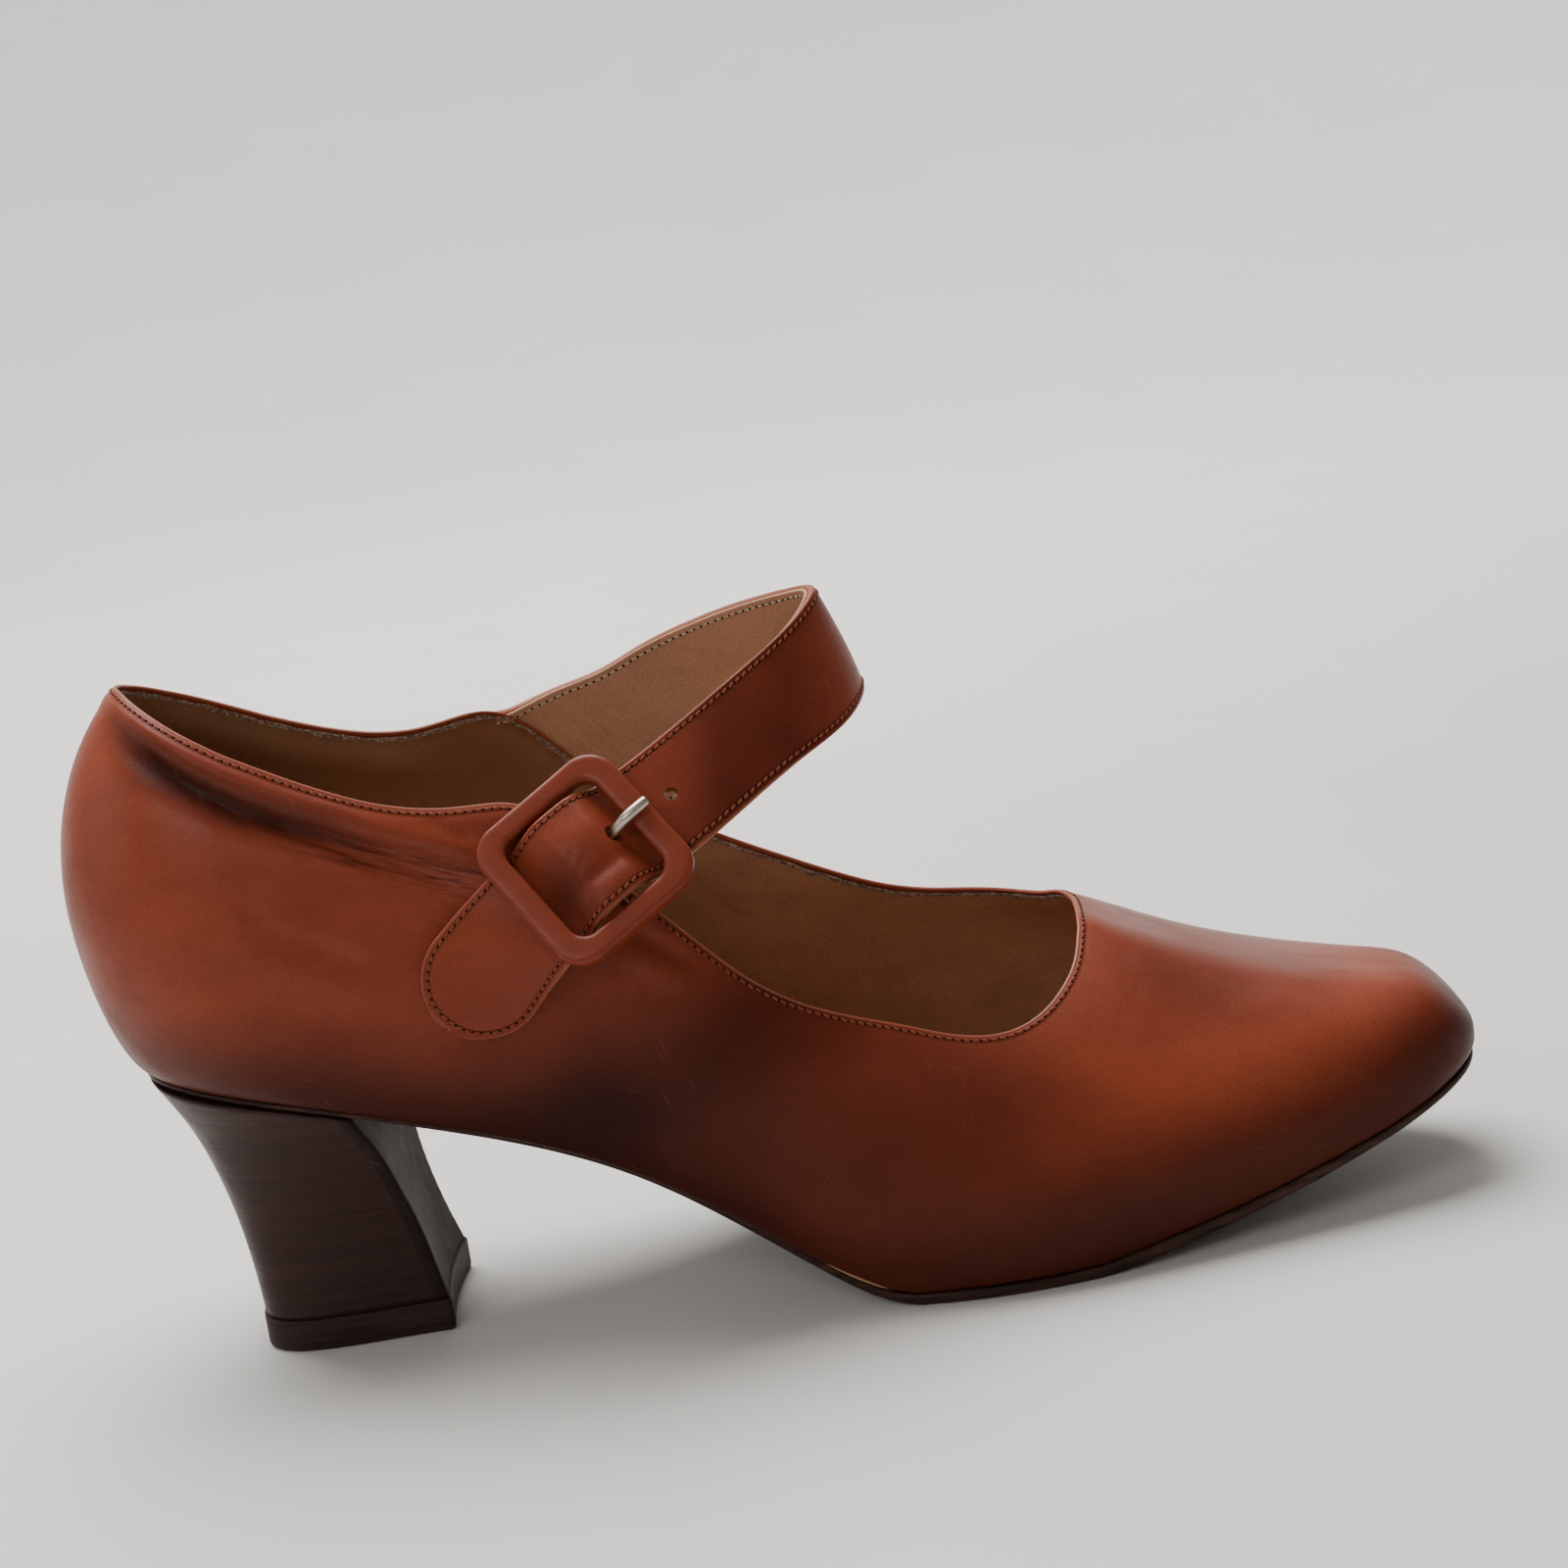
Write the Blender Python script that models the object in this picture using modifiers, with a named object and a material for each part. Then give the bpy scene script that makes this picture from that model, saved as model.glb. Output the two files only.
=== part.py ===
"""Mary Jane pump with a block heel, right shoe, built on its last from a few tables of sections.

Sizes are millimetres until a mesh is made. x runs from the back of the counter to the toe tip,
y is negative on the lateral (outer) side where the buckle sits, and z is the height over the floor.
The world origin is on the floor under the middle of the shoe.
"""

import math

import bmesh
import bpy
import numpy as np

MM = 0.001
MIDDLE_X, MIDDLE_Y = 128.0, -3.0
GAP = 0.3
WALL = 1.8
LATERAL, MEDIAL = -1, 1

# Both ends of every outline are super-ellipses: a round heel and a square toe.
HEEL_ROUND, HEEL_POWER = 36.0, 2.25
TOE_ROUND, TOE_POWER = 24.0, 3.2
UPPER_START, UPPER_END = 1.5, 254.5
SEAT_START, SEAT_END = 10.3, 253.4
# The upper closes towards a line that runs inside the opening, from over the heel seat to under the throat.
LINE_START, LINE_END, LINE_SOFTNESS = 38.0, 150.0, 6.0
THROAT_LENGTH, THROAT_POWER = 34.5, 2.8
FEATHER_POWER = 1.65
TURN_WEIGHT = 28.0

# Underside of the sole (below zero means flat on the floor), its thickness, and how far it passes the upper.
SOLE_COLUMNS = ("x", "bottom", "thick", "edge")
SOLE = (
    (0, 54.7, 1.2, 0.0),
    (20, 52.2, 1.2, 0.0),
    (40, 48.5, 1.2, -0.2),
    (60, 42.9, 1.2, -0.8),
    (80, 36.0, 1.2, -1.1),
    (100, 26.6, 1.3, -1.1),
    (120, 13.6, 1.6, -0.6),
    (130, 6.9, 1.8, -0.1),
    (140, 1.4, 1.9, 0.3),
    (150, -0.4, 2.0, 0.5),
    (162, -0.7, 2.0, 0.6),
    (174, -0.4, 2.1, 0.6),
    (186, 1.0, 2.4, 0.5),
    (200, 3.6, 2.4, 0.5),
    (220, 8.5, 2.1, 0.5),
    (240, 14.9, 1.6, 0.5),
    (255, 21.0, 1.6, 0.5),
)

# Sections of the last: half widths at the feather line and where it is widest, the height of the widest
# place, the height and the sideways place of the ridge, and how full each flank is between the two.
LAST_COLUMNS = (
    *("x", "seat_lat", "seat_med", "wide_lat", "wide_med", "wide_z"),
    *("ridge_z", "full_lat", "full_med", "ridge_y"),
)
LAST = (
    (0, 27.5, 20.5, 32.5, 25.5, 88.0, 133.5, 1.97, 1.97, -3.5),
    (20, 29.5, 22.5, 35.0, 28.0, 76.0, 133.5, 2.0, 2.0, -3.5),
    (40, 31.0, 23.5, 36.4, 29.0, 66.0, 130.0, 2.1, 2.1, -3.5),
    (60, 31.6, 23.2, 36.8, 29.4, 60.0, 121.0, 2.3, 2.2, -2.5),
    (80, 31.0, 22.6, 36.0, 30.4, 53.0, 114.0, 2.6, 2.4, 0.5),
    (100, 31.2, 24.0, 36.2, 32.6, 43.0, 106.0, 2.9, 2.6, 4.0),
    (120, 34.2, 28.6, 38.2, 35.8, 29.0, 92.0, 2.3, 2.5, 7.5),
    (140, 39.0, 35.2, 41.6, 39.2, 17.0, 75.0, 1.9, 2.4, 10.0),
    (160, 41.0, 39.2, 43.2, 41.2, 13.5, 64.2, 1.75, 2.4, 10.0),
    (180, 38.4, 39.8, 40.6, 41.7, 14.0, 58.2, 1.7, 2.4, 9.0),
    (200, 33.0, 36.6, 35.0, 38.4, 16.0, 49.3, 1.8, 2.4, 8.0),
    (220, 27.2, 31.8, 28.8, 33.2, 18.5, 42.9, 2.0, 2.6, 7.0),
    (240, 20.4, 25.4, 21.8, 26.6, 22.0, 40.6, 2.8, 3.6, 5.0),
    (249, 17.4, 22.4, 18.7, 23.5, 23.6, 38.4, 3.6, 4.0, 3.5),
    (255, 15.4, 20.4, 16.6, 21.4, 24.6, 31.5, 4.4, 4.4, 2.5),
)

# Height of the topline behind the throat, seen from each side.
TOPLINE_COLUMNS = ("x", "lat", "med")
TOPLINE = (
    (0, 134.5, 134.5),
    (12, 128.4, 127.4),
    (20, 124.7, 121.4),
    (30, 118.6, 115.5),
    (42, 111.7, 109.7),
    (60, 103.1, 104.6),
    (70, 99.8, 105.1),
    (78, 98.8, 107.2),
    (84, 98.0, 104.6),
    (91, 94.0, 92.2),
    (98, 87.2, 86.0),
    (112, 73.9, 78.2),
    (123, 62.2, 72.0),
    (137, 53.5, 65.4),
    (150, 48.6, 59.6),
    (165, 45.4, 56.8),
)

INSOLE_THICK, INSOLE_INSET = 2.2, 2.5

# The heel block from the top of its lift (0) to the seat (1).
LIFT_HEIGHT, LIFT_PROUD = 6.0, 0.35
HEEL_COLUMNS = ("level", "back", "breast", "half", "square", "flare", "skew")
HEEL = (
    (0.0, 24.6, 60.3, 16.4, 4.2, 0.18, 0.0),
    (0.14, 24.1, 59.3, 16.7, 4.0, 0.17, 0.8),
    (0.38, 22.5, 57.8, 18.0, 3.4, 0.12, 2.0),
    (0.63, 19.5, 55.5, 20.8, 2.8, 0.06, 1.7),
    (0.84, 15.4, 53.1, 24.2, 2.5, 0.0, 0.7),
    (1.0, 10.7, 49.8, 27.2, 2.3, 0.0, 0.0),
)
HEEL_MIDDLE, HEEL_STRAIGHT, BREAST_HOLLOW = -4.2, 0.12, 1.2

STRAP_THICK = 2.2
STRAP_TIP_RADIUS = 11.0
# Free sections of the strap, from the buckle over the instep to the medial quarter: middle of the section,
# how far its width leans back in side view and in towards the shoe, in degrees, its width and its bulge.
STRAP_COLUMNS = ("x", "y", "z", "rake", "lean", "width", "bulge")
STRAP_FREE = (
    (114.3, -28.8, 94.6, 37, 29, 18.0, 0.3),
    (123.4, -24.2, 99.5, 36, 25, 17.9, 0.3),
    (133.4, -18.0, 104.8, 33, 18, 18.4, 0.4),
    (140.5, -12.0, 108.3, 28, 12, 19.4, 0.4),
    (145.0, -6.0, 111.3, 24, 6, 19.8, 0.4),
    (146.9, 1.0, 113.4, 19, 0, 20.4, 0.4),
    (145.4, 8.5, 113.2, 21, 3, 20.6, 0.4),
    (138.6, 16.5, 111.7, 28, 8, 20.8, 0.4),
    (128.0, 23.5, 107.8, 31, 12, 23.0, 0.4),
    (116.6, 27.8, 100.6, 27, 12, 28.5, 0.5),
)
# Sections that lie on a quarter, and lean in above the topline.
ON_QUARTER_COLUMNS = ("x", "z", "rake", "width", "lean")
STRAP_TIP_ROWS = ((70.8, 62.4, 46, 21.6, 0), (79.0, 70.6, 44, 21.6, 0))
UNDER_BAR_ROW = (88.4, -37.7, 79.4, 41, 22, 19.4, 0.1)
BUCKLE_ROW = (99.2, -34.4, 86.6, 38, 31, 18.4, 0.2)
STRAP_BASE_ROWS = (
    (104.8, 95.2, 16, 30.0, 14),
    (95.0, 98.0, 18, 19.5, 14),
    (86.4, 101.2, 25, 9.5, 14),
    (81.3, 104.2, 25, 2.5, 14),
)
STRAP_BASE_RADIUS = 2.0
QUARTER_LIFT = 0.3

BUCKLE_ALONG, BUCKLE_ACROSS = 29.0, 30.6
BAR_ALONG, BAR_ACROSS = 4.6, 4.1
BUCKLE_CORNER, WINDOW_CORNER = 5.8, 3.2
BUCKLE_LOW, BUCKLE_THICK, BUCKLE_SIDE_DROP = 3.2, 2.6, 1.6
CENTRE_BAR_RADIUS, CENTRE_BAR_HEIGHT, CENTRE_BAR_INSET = 0.7, 2.2, 2.0
# Section of the frame: share of the way from its outer to its inner edge, and share of its height.
BUCKLE_SECTION = (
    *((0.0, 0.15), (0.0, 0.7), (0.22, 1.0), (0.78, 1.0)),
    *((1.0, 0.7), (1.0, 0.15), (0.85, 0.0), (0.15, 0.0)),
)
# The strap stands off to the buckle's bars: how far, and where along it that starts and ends.
STRAP_RISE, RISE_START, RISE_FULL, FALL_START, FALL_END = 4.7, -10.2, -2.0, 3.2, 10.2
# Steps along the strap are closer together near the buckle and at both ends.
BUCKLE_STEPS, BUCKLE_REACH, END_STEPS, TIP_REACH, BASE_REACH = 2.2, 9.0, 6.0, 3.0, 2.0
TAB_WIDTH, TAB_THICK, TAB_SLIT, TAB_TAIL = 12.0, 0.8, 3.4, 5.5
TAB_TAIL_LOW, TAB_TAIL_HIGH, TAB_WRAP = 0.3, 1.3, (-125, 150)
# The slit for the prong, as seen from the side: along the strap and out from it.
SLIT_ALONG, SLIT_OUT = (-2.6, 4.0), (-1.0, 6.0)
STRAP_HOLE_RADIUS, STRAP_HOLE_PLACE, STRAP_HOLE_TILT, HOLE_CUT = 2.0, (5.7, 4.4), (0.69, 0.72), 4.0
PRONG_THIN, PRONG_RADIUS, PRONG_WRAP = 0.6, 1.05, (190, 160, 130, 105)
PRONG_PATH_COLUMNS = ("along", "out", "radius")
PRONG_PATH = (
    (1.4, 3.7, 0.6),
    (3.2, 3.7, 0.62),
    (5.0, 4.05, 0.8),
    (6.6, 4.85, 0.95),
    (8.0, 5.9, 1.05),
    (9.4, 6.85, 1.05),
)
PRONG_ON_BAR_COLUMNS = ("along", "radius")
PRONG_ON_BAR = ((11.2, 1.05), (12.8, 1.05), (14.0, 1.0), (14.6, 0.75), (14.85, 0.35))


def spline(columns, rows, name):
    """A natural cubic spline through one named column of a table, as a function of its first column."""
    table = np.array(rows, float)
    at, value = table[:, 0], table[:, columns.index(name)]
    step = np.diff(at)
    matrix, right = np.eye(len(at)), np.zeros(len(at))
    for i in range(1, len(at) - 1):
        matrix[i, i - 1 : i + 2] = step[i - 1], 2 * (step[i - 1] + step[i]), step[i]
        right[i] = 6 * ((value[i + 1] - value[i]) / step[i] - (value[i] - value[i - 1]) / step[i - 1])
    bend = np.linalg.solve(matrix, right)

    def curve(x):
        x = np.clip(x, at[0], at[-1])
        k = np.clip(np.searchsorted(at, x) - 1, 0, len(at) - 2)
        after, before, width = x - at[k], at[k + 1] - x, step[k]
        ends = (value[k] / width - bend[k] * width / 6) * before
        ends = ends + (value[k + 1] / width - bend[k + 1] * width / 6) * after
        return (bend[k] * before**3 + bend[k + 1] * after**3) / (6 * width) + ends

    return curve


def curves(columns, rows):
    return {name: spline(columns, rows, name) for name in columns[1:]}


sole = curves(SOLE_COLUMNS, SOLE)
last = curves(LAST_COLUMNS, LAST)
topline = curves(TOPLINE_COLUMNS, TOPLINE)
heel = curves(HEEL_COLUMNS, HEEL)


def by_side(side, lateral, medial):
    return np.where(np.asarray(side) < 0, lateral, medial)


def sole_bottom(x):
    return np.maximum(sole["bottom"](x), 0.0)


def sole_top(x):
    return sole_bottom(x) + sole["thick"](x)


def even_steps(points, count, turn_weight=TURN_WEIGHT):
    """Resamples a line of points to count steps, shorter where the line turns."""
    move = np.diff(points, axis=0)
    length = np.linalg.norm(move, axis=1)
    heading = move / np.maximum(length, 1e-9)[:, None]
    turn = np.arccos(np.clip((heading[1:] * heading[:-1]).sum(axis=1), -1, 1))
    weight = length.copy()
    weight[1:] += turn_weight * turn
    along = np.concatenate([[0], np.cumsum(weight)])
    wanted = np.linspace(0, along[-1], count + 1)
    return np.stack([np.interp(wanted, along, points[:, i]) for i in range(points.shape[1])], axis=1)


def half_outline(kind, side, start, end, count, grow=0.0):
    """Plan points of one side of an outline of the last, from the heel to the toe."""
    x = start + (end - start) * (1 - np.cos(np.linspace(0, math.pi, 1200))) / 2
    into_heel = np.clip((start + HEEL_ROUND - x) / HEEL_ROUND, 0, 1)
    into_toe = np.clip((x - end + TOE_ROUND) / TOE_ROUND, 0, 1)
    rounding = (1 - into_heel**HEEL_POWER) ** (1 / HEEL_POWER) * (1 - into_toe**TOE_POWER) ** (1 / TOE_POWER)
    grow = grow(x) if callable(grow) else grow
    lateral, medial = last[kind + "_lat"](x) + grow, last[kind + "_med"](x) + grow
    y = (medial - lateral) / 2 + side * (medial + lateral) / 2 * rounding
    return even_steps(np.stack([x, y], axis=1), count)


def closed_outline(kind, start, end, count):
    """Plan loop along the lateral side to the toe and back along the medial side, and each point's side."""
    out = half_outline(kind, LATERAL, start, end, count)[:-1]
    back = half_outline(kind, MEDIAL, start, end, count)[:0:-1]
    return np.concatenate([out, back]), np.repeat([LATERAL, MEDIAL], count)


def inner_line(x):
    """The place on the inner line that the column of the upper at x closes towards."""
    x = LINE_START + LINE_SOFTNESS * np.logaddexp(0, (x - LINE_START) / LINE_SOFTNESS)
    return LINE_END - LINE_SOFTNESS * np.logaddexp(0, (LINE_END - x) / LINE_SOFTNESS)


def quarter_y(x, z, side):
    """Where the outer face of the upper is, on one side, at a place of the side view."""
    widest = last["wide_z"](x)
    full = by_side(side, last["full_lat"](x), last["full_med"](x))
    middle = last["ridge_y"](x)
    reach = by_side(side, -last["wide_lat"](x), last["wide_med"](x))
    foot = by_side(side, -last["seat_lat"](x), last["seat_med"](x))
    up = np.clip((z - widest) / (last["ridge_z"](x) - widest), 0, 1)
    down = np.clip((widest - z) / (widest - sole_top(x) - GAP), 0, 1)
    above = middle + (1 - up**full) ** (1 / full) * (reach - middle)
    below = foot + (reach - foot) * (1 - down**FEATHER_POWER) ** (1 / FEATHER_POWER)
    return np.where(z >= widest, above, below)


def upper_surface(columns, rows):
    """Outer face of the upper: a grid of rows from the feather line to the topline, and columns around it."""
    wide, side = closed_outline("wide", UPPER_START, UPPER_END, columns)
    seat, _ = closed_outline("seat", SEAT_START, SEAT_END, columns)
    wide_x, wide_y, wide_z = wide[:, 0], wide[:, 1], last["wide_z"](wide[:, 0])
    full = by_side(side, last["full_lat"](wide_x), last["full_med"](wide_x))
    centre_x = inner_line(wide_x)
    centre_y = last["ridge_y"](centre_x)

    def above(share):
        """Points of every column at a share of the way out from the inner line."""
        x = centre_x + share * (wide_x - centre_x)
        y = centre_y + share * (wide_y - centre_y)
        return x, y, wide_z + (last["ridge_z"](x) - wide_z) * (1 - share**full) ** (1 / full)

    throat_y = last["ridge_y"](LINE_END)
    throat_half = {
        s: abs(float(quarter_y(LINE_END, topline[name](LINE_END), s)) - throat_y)
        for s, name in ((LATERAL, "lat"), (MEDIAL, "med"))
    }

    def is_open(x, y, z):
        over_topline = z > by_side(y - centre_y, topline["lat"](x), topline["med"](x))
        forward = np.maximum(x - LINE_END, 0) / THROAT_LENGTH
        sideways = np.abs(y - throat_y) / by_side(y - throat_y, throat_half[LATERAL], throat_half[MEDIAL])
        return np.where(x < LINE_END, over_topline, forward**THROAT_POWER + sideways**THROAT_POWER < 1)

    opened, closed = np.zeros(len(wide_x)), np.ones(len(wide_x))
    for _ in range(40):
        share = (opened + closed) / 2
        inside = is_open(*above(share))
        opened, closed = np.where(inside, share, opened), np.where(inside, closed, share)
    for _ in range(columns // 12):
        closed = (np.roll(closed, 1) + 2 * closed + np.roll(closed, -1)) / 4
    lower = np.sin(np.linspace(math.pi / 2, 0, 60)[:, None]) ** (2 / FEATHER_POWER)
    inward = np.cos(np.linspace(math.pi / 2, 0, 60)[:, None]) ** (2 / FEATHER_POWER)
    seat_z = sole_top(seat[:, 0]) + GAP
    bottom = np.stack(
        [
            seat[:, 0] + (wide_x - seat[:, 0]) * inward,
            seat[:, 1] + (wide_y - seat[:, 1]) * inward,
            wide_z + (seat_z - wide_z) * lower,
        ],
        axis=2,
    )
    angle = np.arccos(closed ** (full / 2)) * np.linspace(0, 1, 240)[1:, None] ** 1.5
    top = np.stack(above(np.cos(angle) ** (2 / full)), axis=2)
    profile = np.concatenate([bottom, top])
    steps = [even_steps(profile[:, i], rows) for i in range(profile.shape[1])]
    return np.stack(steps, axis=1)


def strap_section(x, y, z, rake, lean, width, bulge, across):
    """Points across a free section of the strap; across runs from -1 at the lower edge to 1 at the upper."""
    rake, lean = math.radians(rake), math.radians(lean)
    inward = 1 if y < 0 else -1
    up = np.array([-math.sin(rake), inward * math.sin(lean), math.cos(rake)])
    outward = np.array([math.sin(rake) * 0.3, -inward, 0.2])
    if abs(y) < 20:
        outward = np.array([1.0, y / 20, 0.3])
    outward /= np.linalg.norm(outward)
    points = np.array([x, y, z]) + across[:, None] * up * width / 2
    return points + (1 - across[:, None] ** 2) * outward * bulge


def strap_on_quarter(x, z, rake, width, lean, side, across):
    """Points across a section that lies on a quarter, and leans on above the topline."""
    rake = math.radians(rake)
    over_x = x - math.sin(rake) * across * width / 2
    over_z = z + math.cos(rake) * across * width / 2
    held = np.minimum(over_z, by_side(side, topline["lat"](over_x), topline["med"](over_x)))
    y = quarter_y(over_x, held, side) + side * (STRAP_THICK / 2 + GAP + QUARTER_LIFT)
    return np.stack([over_x, y - side * (over_z - held) * math.tan(math.radians(lean)), over_z], axis=1)


def through(sections, count):
    """A smooth surface through sections, resampled to count steps along its middle."""
    sections = np.array(sections)
    middle = sections[:, sections.shape[1] // 2]
    along = np.concatenate([[0], np.cumsum(np.linalg.norm(np.diff(middle, axis=0), axis=1))])
    where = np.linspace(0, along[-1], count + 1)
    flat = sections.reshape(len(sections), -1)
    rows = np.column_stack([along, flat])
    names = ["along"] + [str(i) for i in range(flat.shape[1])]
    smooth = np.stack([spline(names, rows, name)(where) for name in names[1:]], axis=1)
    return smooth.reshape(count + 1, *sections.shape[1:]), where


def grid_normals(grid):
    """Unit normals of a grid of points, along the first direction crossed with the second."""
    first, second = np.gradient(grid, axis=0), np.gradient(grid, axis=1)
    normal = np.cross(first, second)
    return normal / np.linalg.norm(normal, axis=2, keepdims=True)


def smooth_step(x, low, high):
    t = np.clip((x - low) / (high - low), 0, 1)
    return t * t * (3 - 2 * t)


def strap_surface(count, across_count):
    """Middle surface of the strap from its tip to its base, and the frame of the buckle on it."""
    across = np.linspace(-1, 1, across_count + 1)
    sections = [strap_on_quarter(*row, LATERAL, across) for row in STRAP_TIP_ROWS]
    sections += [strap_section(*row, across) for row in (UNDER_BAR_ROW, BUCKLE_ROW)]
    sections += [strap_section(*row, across) for row in STRAP_FREE]
    sections += [strap_on_quarter(*row, MEDIAL, across) for row in STRAP_BASE_ROWS]
    fine, where = through(sections, 400)
    middle = fine[:, across_count // 2]
    buckle_at = where[np.argmin(np.linalg.norm(middle - np.array(BUCKLE_ROW[:3]), axis=1))]
    total = where[-1]

    def narrow(s):
        tip = np.clip((STRAP_TIP_RADIUS - s) / STRAP_TIP_RADIUS, 0, 1)
        base = np.clip((STRAP_BASE_RADIUS - (total - s)) / STRAP_BASE_RADIUS, 0, 1)
        return np.sqrt(1 - tip**2) * np.sqrt(1 - base**2)

    ends = np.concatenate([where, STRAP_TIP_RADIUS * (1 - np.cos(np.linspace(0, math.pi / 2, 6)))])
    ends = np.concatenate([ends, total - STRAP_BASE_RADIUS * (1 - np.cos(np.linspace(0, math.pi / 2, 5)))])
    pace = np.sort(ends)
    step = 1 + BUCKLE_STEPS * np.exp(-(((pace - buckle_at) / BUCKLE_REACH) ** 4))
    step += END_STEPS * (np.exp(-((pace / TIP_REACH) ** 2)) + np.exp(-(((total - pace) / BASE_REACH) ** 2)))
    travel = np.concatenate([[0], np.cumsum(np.diff(pace) * (step[1:] + step[:-1]) / 2)])
    chosen = np.interp(np.linspace(0, travel[-1], count + 1), travel, pace)
    lines = [[np.interp(chosen, where, fine[:, j, i]) for i in range(3)] for j in range(across_count + 1)]
    grid = np.array(lines).transpose(2, 0, 1)
    centre = grid.mean(axis=1, keepdims=True)
    keep = np.maximum(narrow(chosen), 0.02)[:, None, None]
    grid = centre + (grid - centre) * keep
    at_buckle = np.argmin(abs(where - buckle_at))
    reach = int(400 * 10 / total)
    along = middle[at_buckle + reach] - middle[at_buckle - reach]
    up = fine[at_buckle, -1] - fine[at_buckle, 0]
    along /= np.linalg.norm(along)
    up -= along * (up @ along)
    up /= np.linalg.norm(up)
    outward = np.cross(along, up)
    if outward[1] > 0:
        outward = -outward
    origin = fine[at_buckle].mean(axis=0) - outward * STRAP_THICK / 2
    place = chosen - buckle_at
    rise = STRAP_RISE * smooth_step(place, RISE_START, RISE_FULL)
    rise *= smooth_step(-place, -FALL_END, -FALL_START)
    grid = grid + rise[:, None, None] * outward
    return grid, (origin, along, up, outward)


def new_mesh(name, points, faces, material):
    mesh = bpy.data.meshes.new(name)
    world = np.asarray(points, float) - np.array([MIDDLE_X, MIDDLE_Y, 0])
    mesh.from_pydata([tuple(p) for p in world * MM], [], faces)
    shape = bmesh.new()
    shape.from_mesh(mesh)
    bmesh.ops.remove_doubles(shape, verts=shape.verts, dist=0.02 * MM)
    bmesh.ops.dissolve_degenerate(shape, edges=shape.edges, dist=0.02 * MM)
    if all(edge.is_manifold for edge in shape.edges):
        bmesh.ops.recalc_face_normals(shape, faces=shape.faces)
    shape.to_mesh(mesh)
    shape.free()
    mesh.shade_smooth()
    mesh.set_sharp_from_angle(angle=math.radians(40))
    mesh.materials.append(material)
    made = bpy.data.objects.new(name, mesh)
    shoe.objects.link(made)
    return made


def grid_faces(rows, columns, wrap=False, start=0, flip=False):
    faces = []
    for i in range(rows - 1):
        for j in range(columns if wrap else columns - 1):
            k = (j + 1) % columns
            a, b = start + i * columns, start + (i + 1) * columns
            face = (a + j, a + k, b + k, b + j)
            faces.append(face[::-1] if flip else face)
    return faces


def sheet(name, low, high, material):
    """A closed solid between two grids of the same size, with its rim."""
    rows, columns = low.shape[:2]
    points = np.concatenate([low.reshape(-1, 3), high.reshape(-1, 3)])
    other = rows * columns
    faces = grid_faces(rows, columns) + grid_faces(rows, columns, start=other, flip=True)
    rim = [j for j in range(columns)]
    rim += [i * columns + columns - 1 for i in range(1, rows)]
    rim += [(rows - 1) * columns + j for j in range(columns - 2, -1, -1)]
    rim += [i * columns for i in range(rows - 2, 0, -1)]
    for a, b in zip(rim, rim[1:] + rim[:1]):
        faces.append((b, a, a + other, b + other))
    return new_mesh(name, points, faces, material)


def plate(kind, rows, across, start, end, grow, low, high):
    """Two grids over an outline of the last, from its lateral to its medial edge, at heights low and high."""
    lateral = half_outline(kind, LATERAL, start, end, rows, grow)
    medial = half_outline(kind, MEDIAL, start, end, rows, grow)
    share = (1 - np.cos(np.linspace(0, math.pi, across + 1))) / 2
    plan = lateral[:, None] + (medial - lateral)[:, None] * share[None, :, None]
    return [np.concatenate([plan, height(plan[..., :1])], axis=2) for height in (low, high)]


def material(name, colour, roughness, metallic=0.0):
    made = bpy.data.materials.new(name)
    made.use_nodes = True
    shader = made.node_tree.nodes["Principled BSDF"]
    shader.inputs["Base Color"].default_value = (*colour, 1)
    shader.inputs["Roughness"].default_value = roughness
    shader.inputs["Metallic"].default_value = metallic
    return made


def make_upper(leather):
    grid = upper_surface(36, 14)
    rows, columns = grid.shape[:2]
    upper = new_mesh("upper", grid.reshape(-1, 3), grid_faces(rows, columns, wrap=True), leather)
    wall = upper.modifiers.new("wall", "SOLIDIFY")
    wall.thickness = WALL * MM
    wall.offset = -1
    wall.use_even_offset = True
    return upper


def make_outsole(edge):
    low, high = plate("seat", 40, 8, SEAT_START - 0.3, SEAT_END + 0.5, sole["edge"], sole_bottom, sole_top)
    return sheet("outsole", low, high, edge)


def make_insole(lining):
    start, end = SEAT_START + INSOLE_INSET, SEAT_END - INSOLE_INSET

    def low(x):
        return sole_top(x) + GAP

    def high(x):
        return low(x) + INSOLE_THICK

    return sheet("insole", *plate("seat", 32, 6, start, end, -INSOLE_INSET, low, high), lining)


def heel_outline(level, grow=0.0, count=22):
    """D-shaped plan loop: round behind, nearly straight flanks, a slightly hollow breast."""
    back, breast = heel["back"](level) - grow, heel["breast"](level) + grow
    half, power = heel["half"](level) + grow, heel["square"](level)
    straight = breast - HEEL_STRAIGHT * (breast - back)
    angle = np.linspace(0, math.pi, 400)
    x = straight - (straight - back) * np.abs(np.sin(angle)) ** (2 / power)
    y = -half * np.sign(np.cos(angle)) * np.abs(np.cos(angle)) ** (2 / power)
    y *= 1 + heel["flare"](level) * (straight - x) / (straight - back)
    behind = even_steps(np.stack([x, y], axis=1), count, 8.0)
    front_y = np.linspace(half, -half, 7)
    front_x = breast - BREAST_HOLLOW * (1 - (front_y / half) ** 2)
    front_x -= heel["skew"](level) * (1 + front_y / half) / 2
    loop = np.concatenate([behind, np.stack([front_x, front_y], axis=1)])
    return loop + np.array([0, HEEL_MIDDLE])


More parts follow.
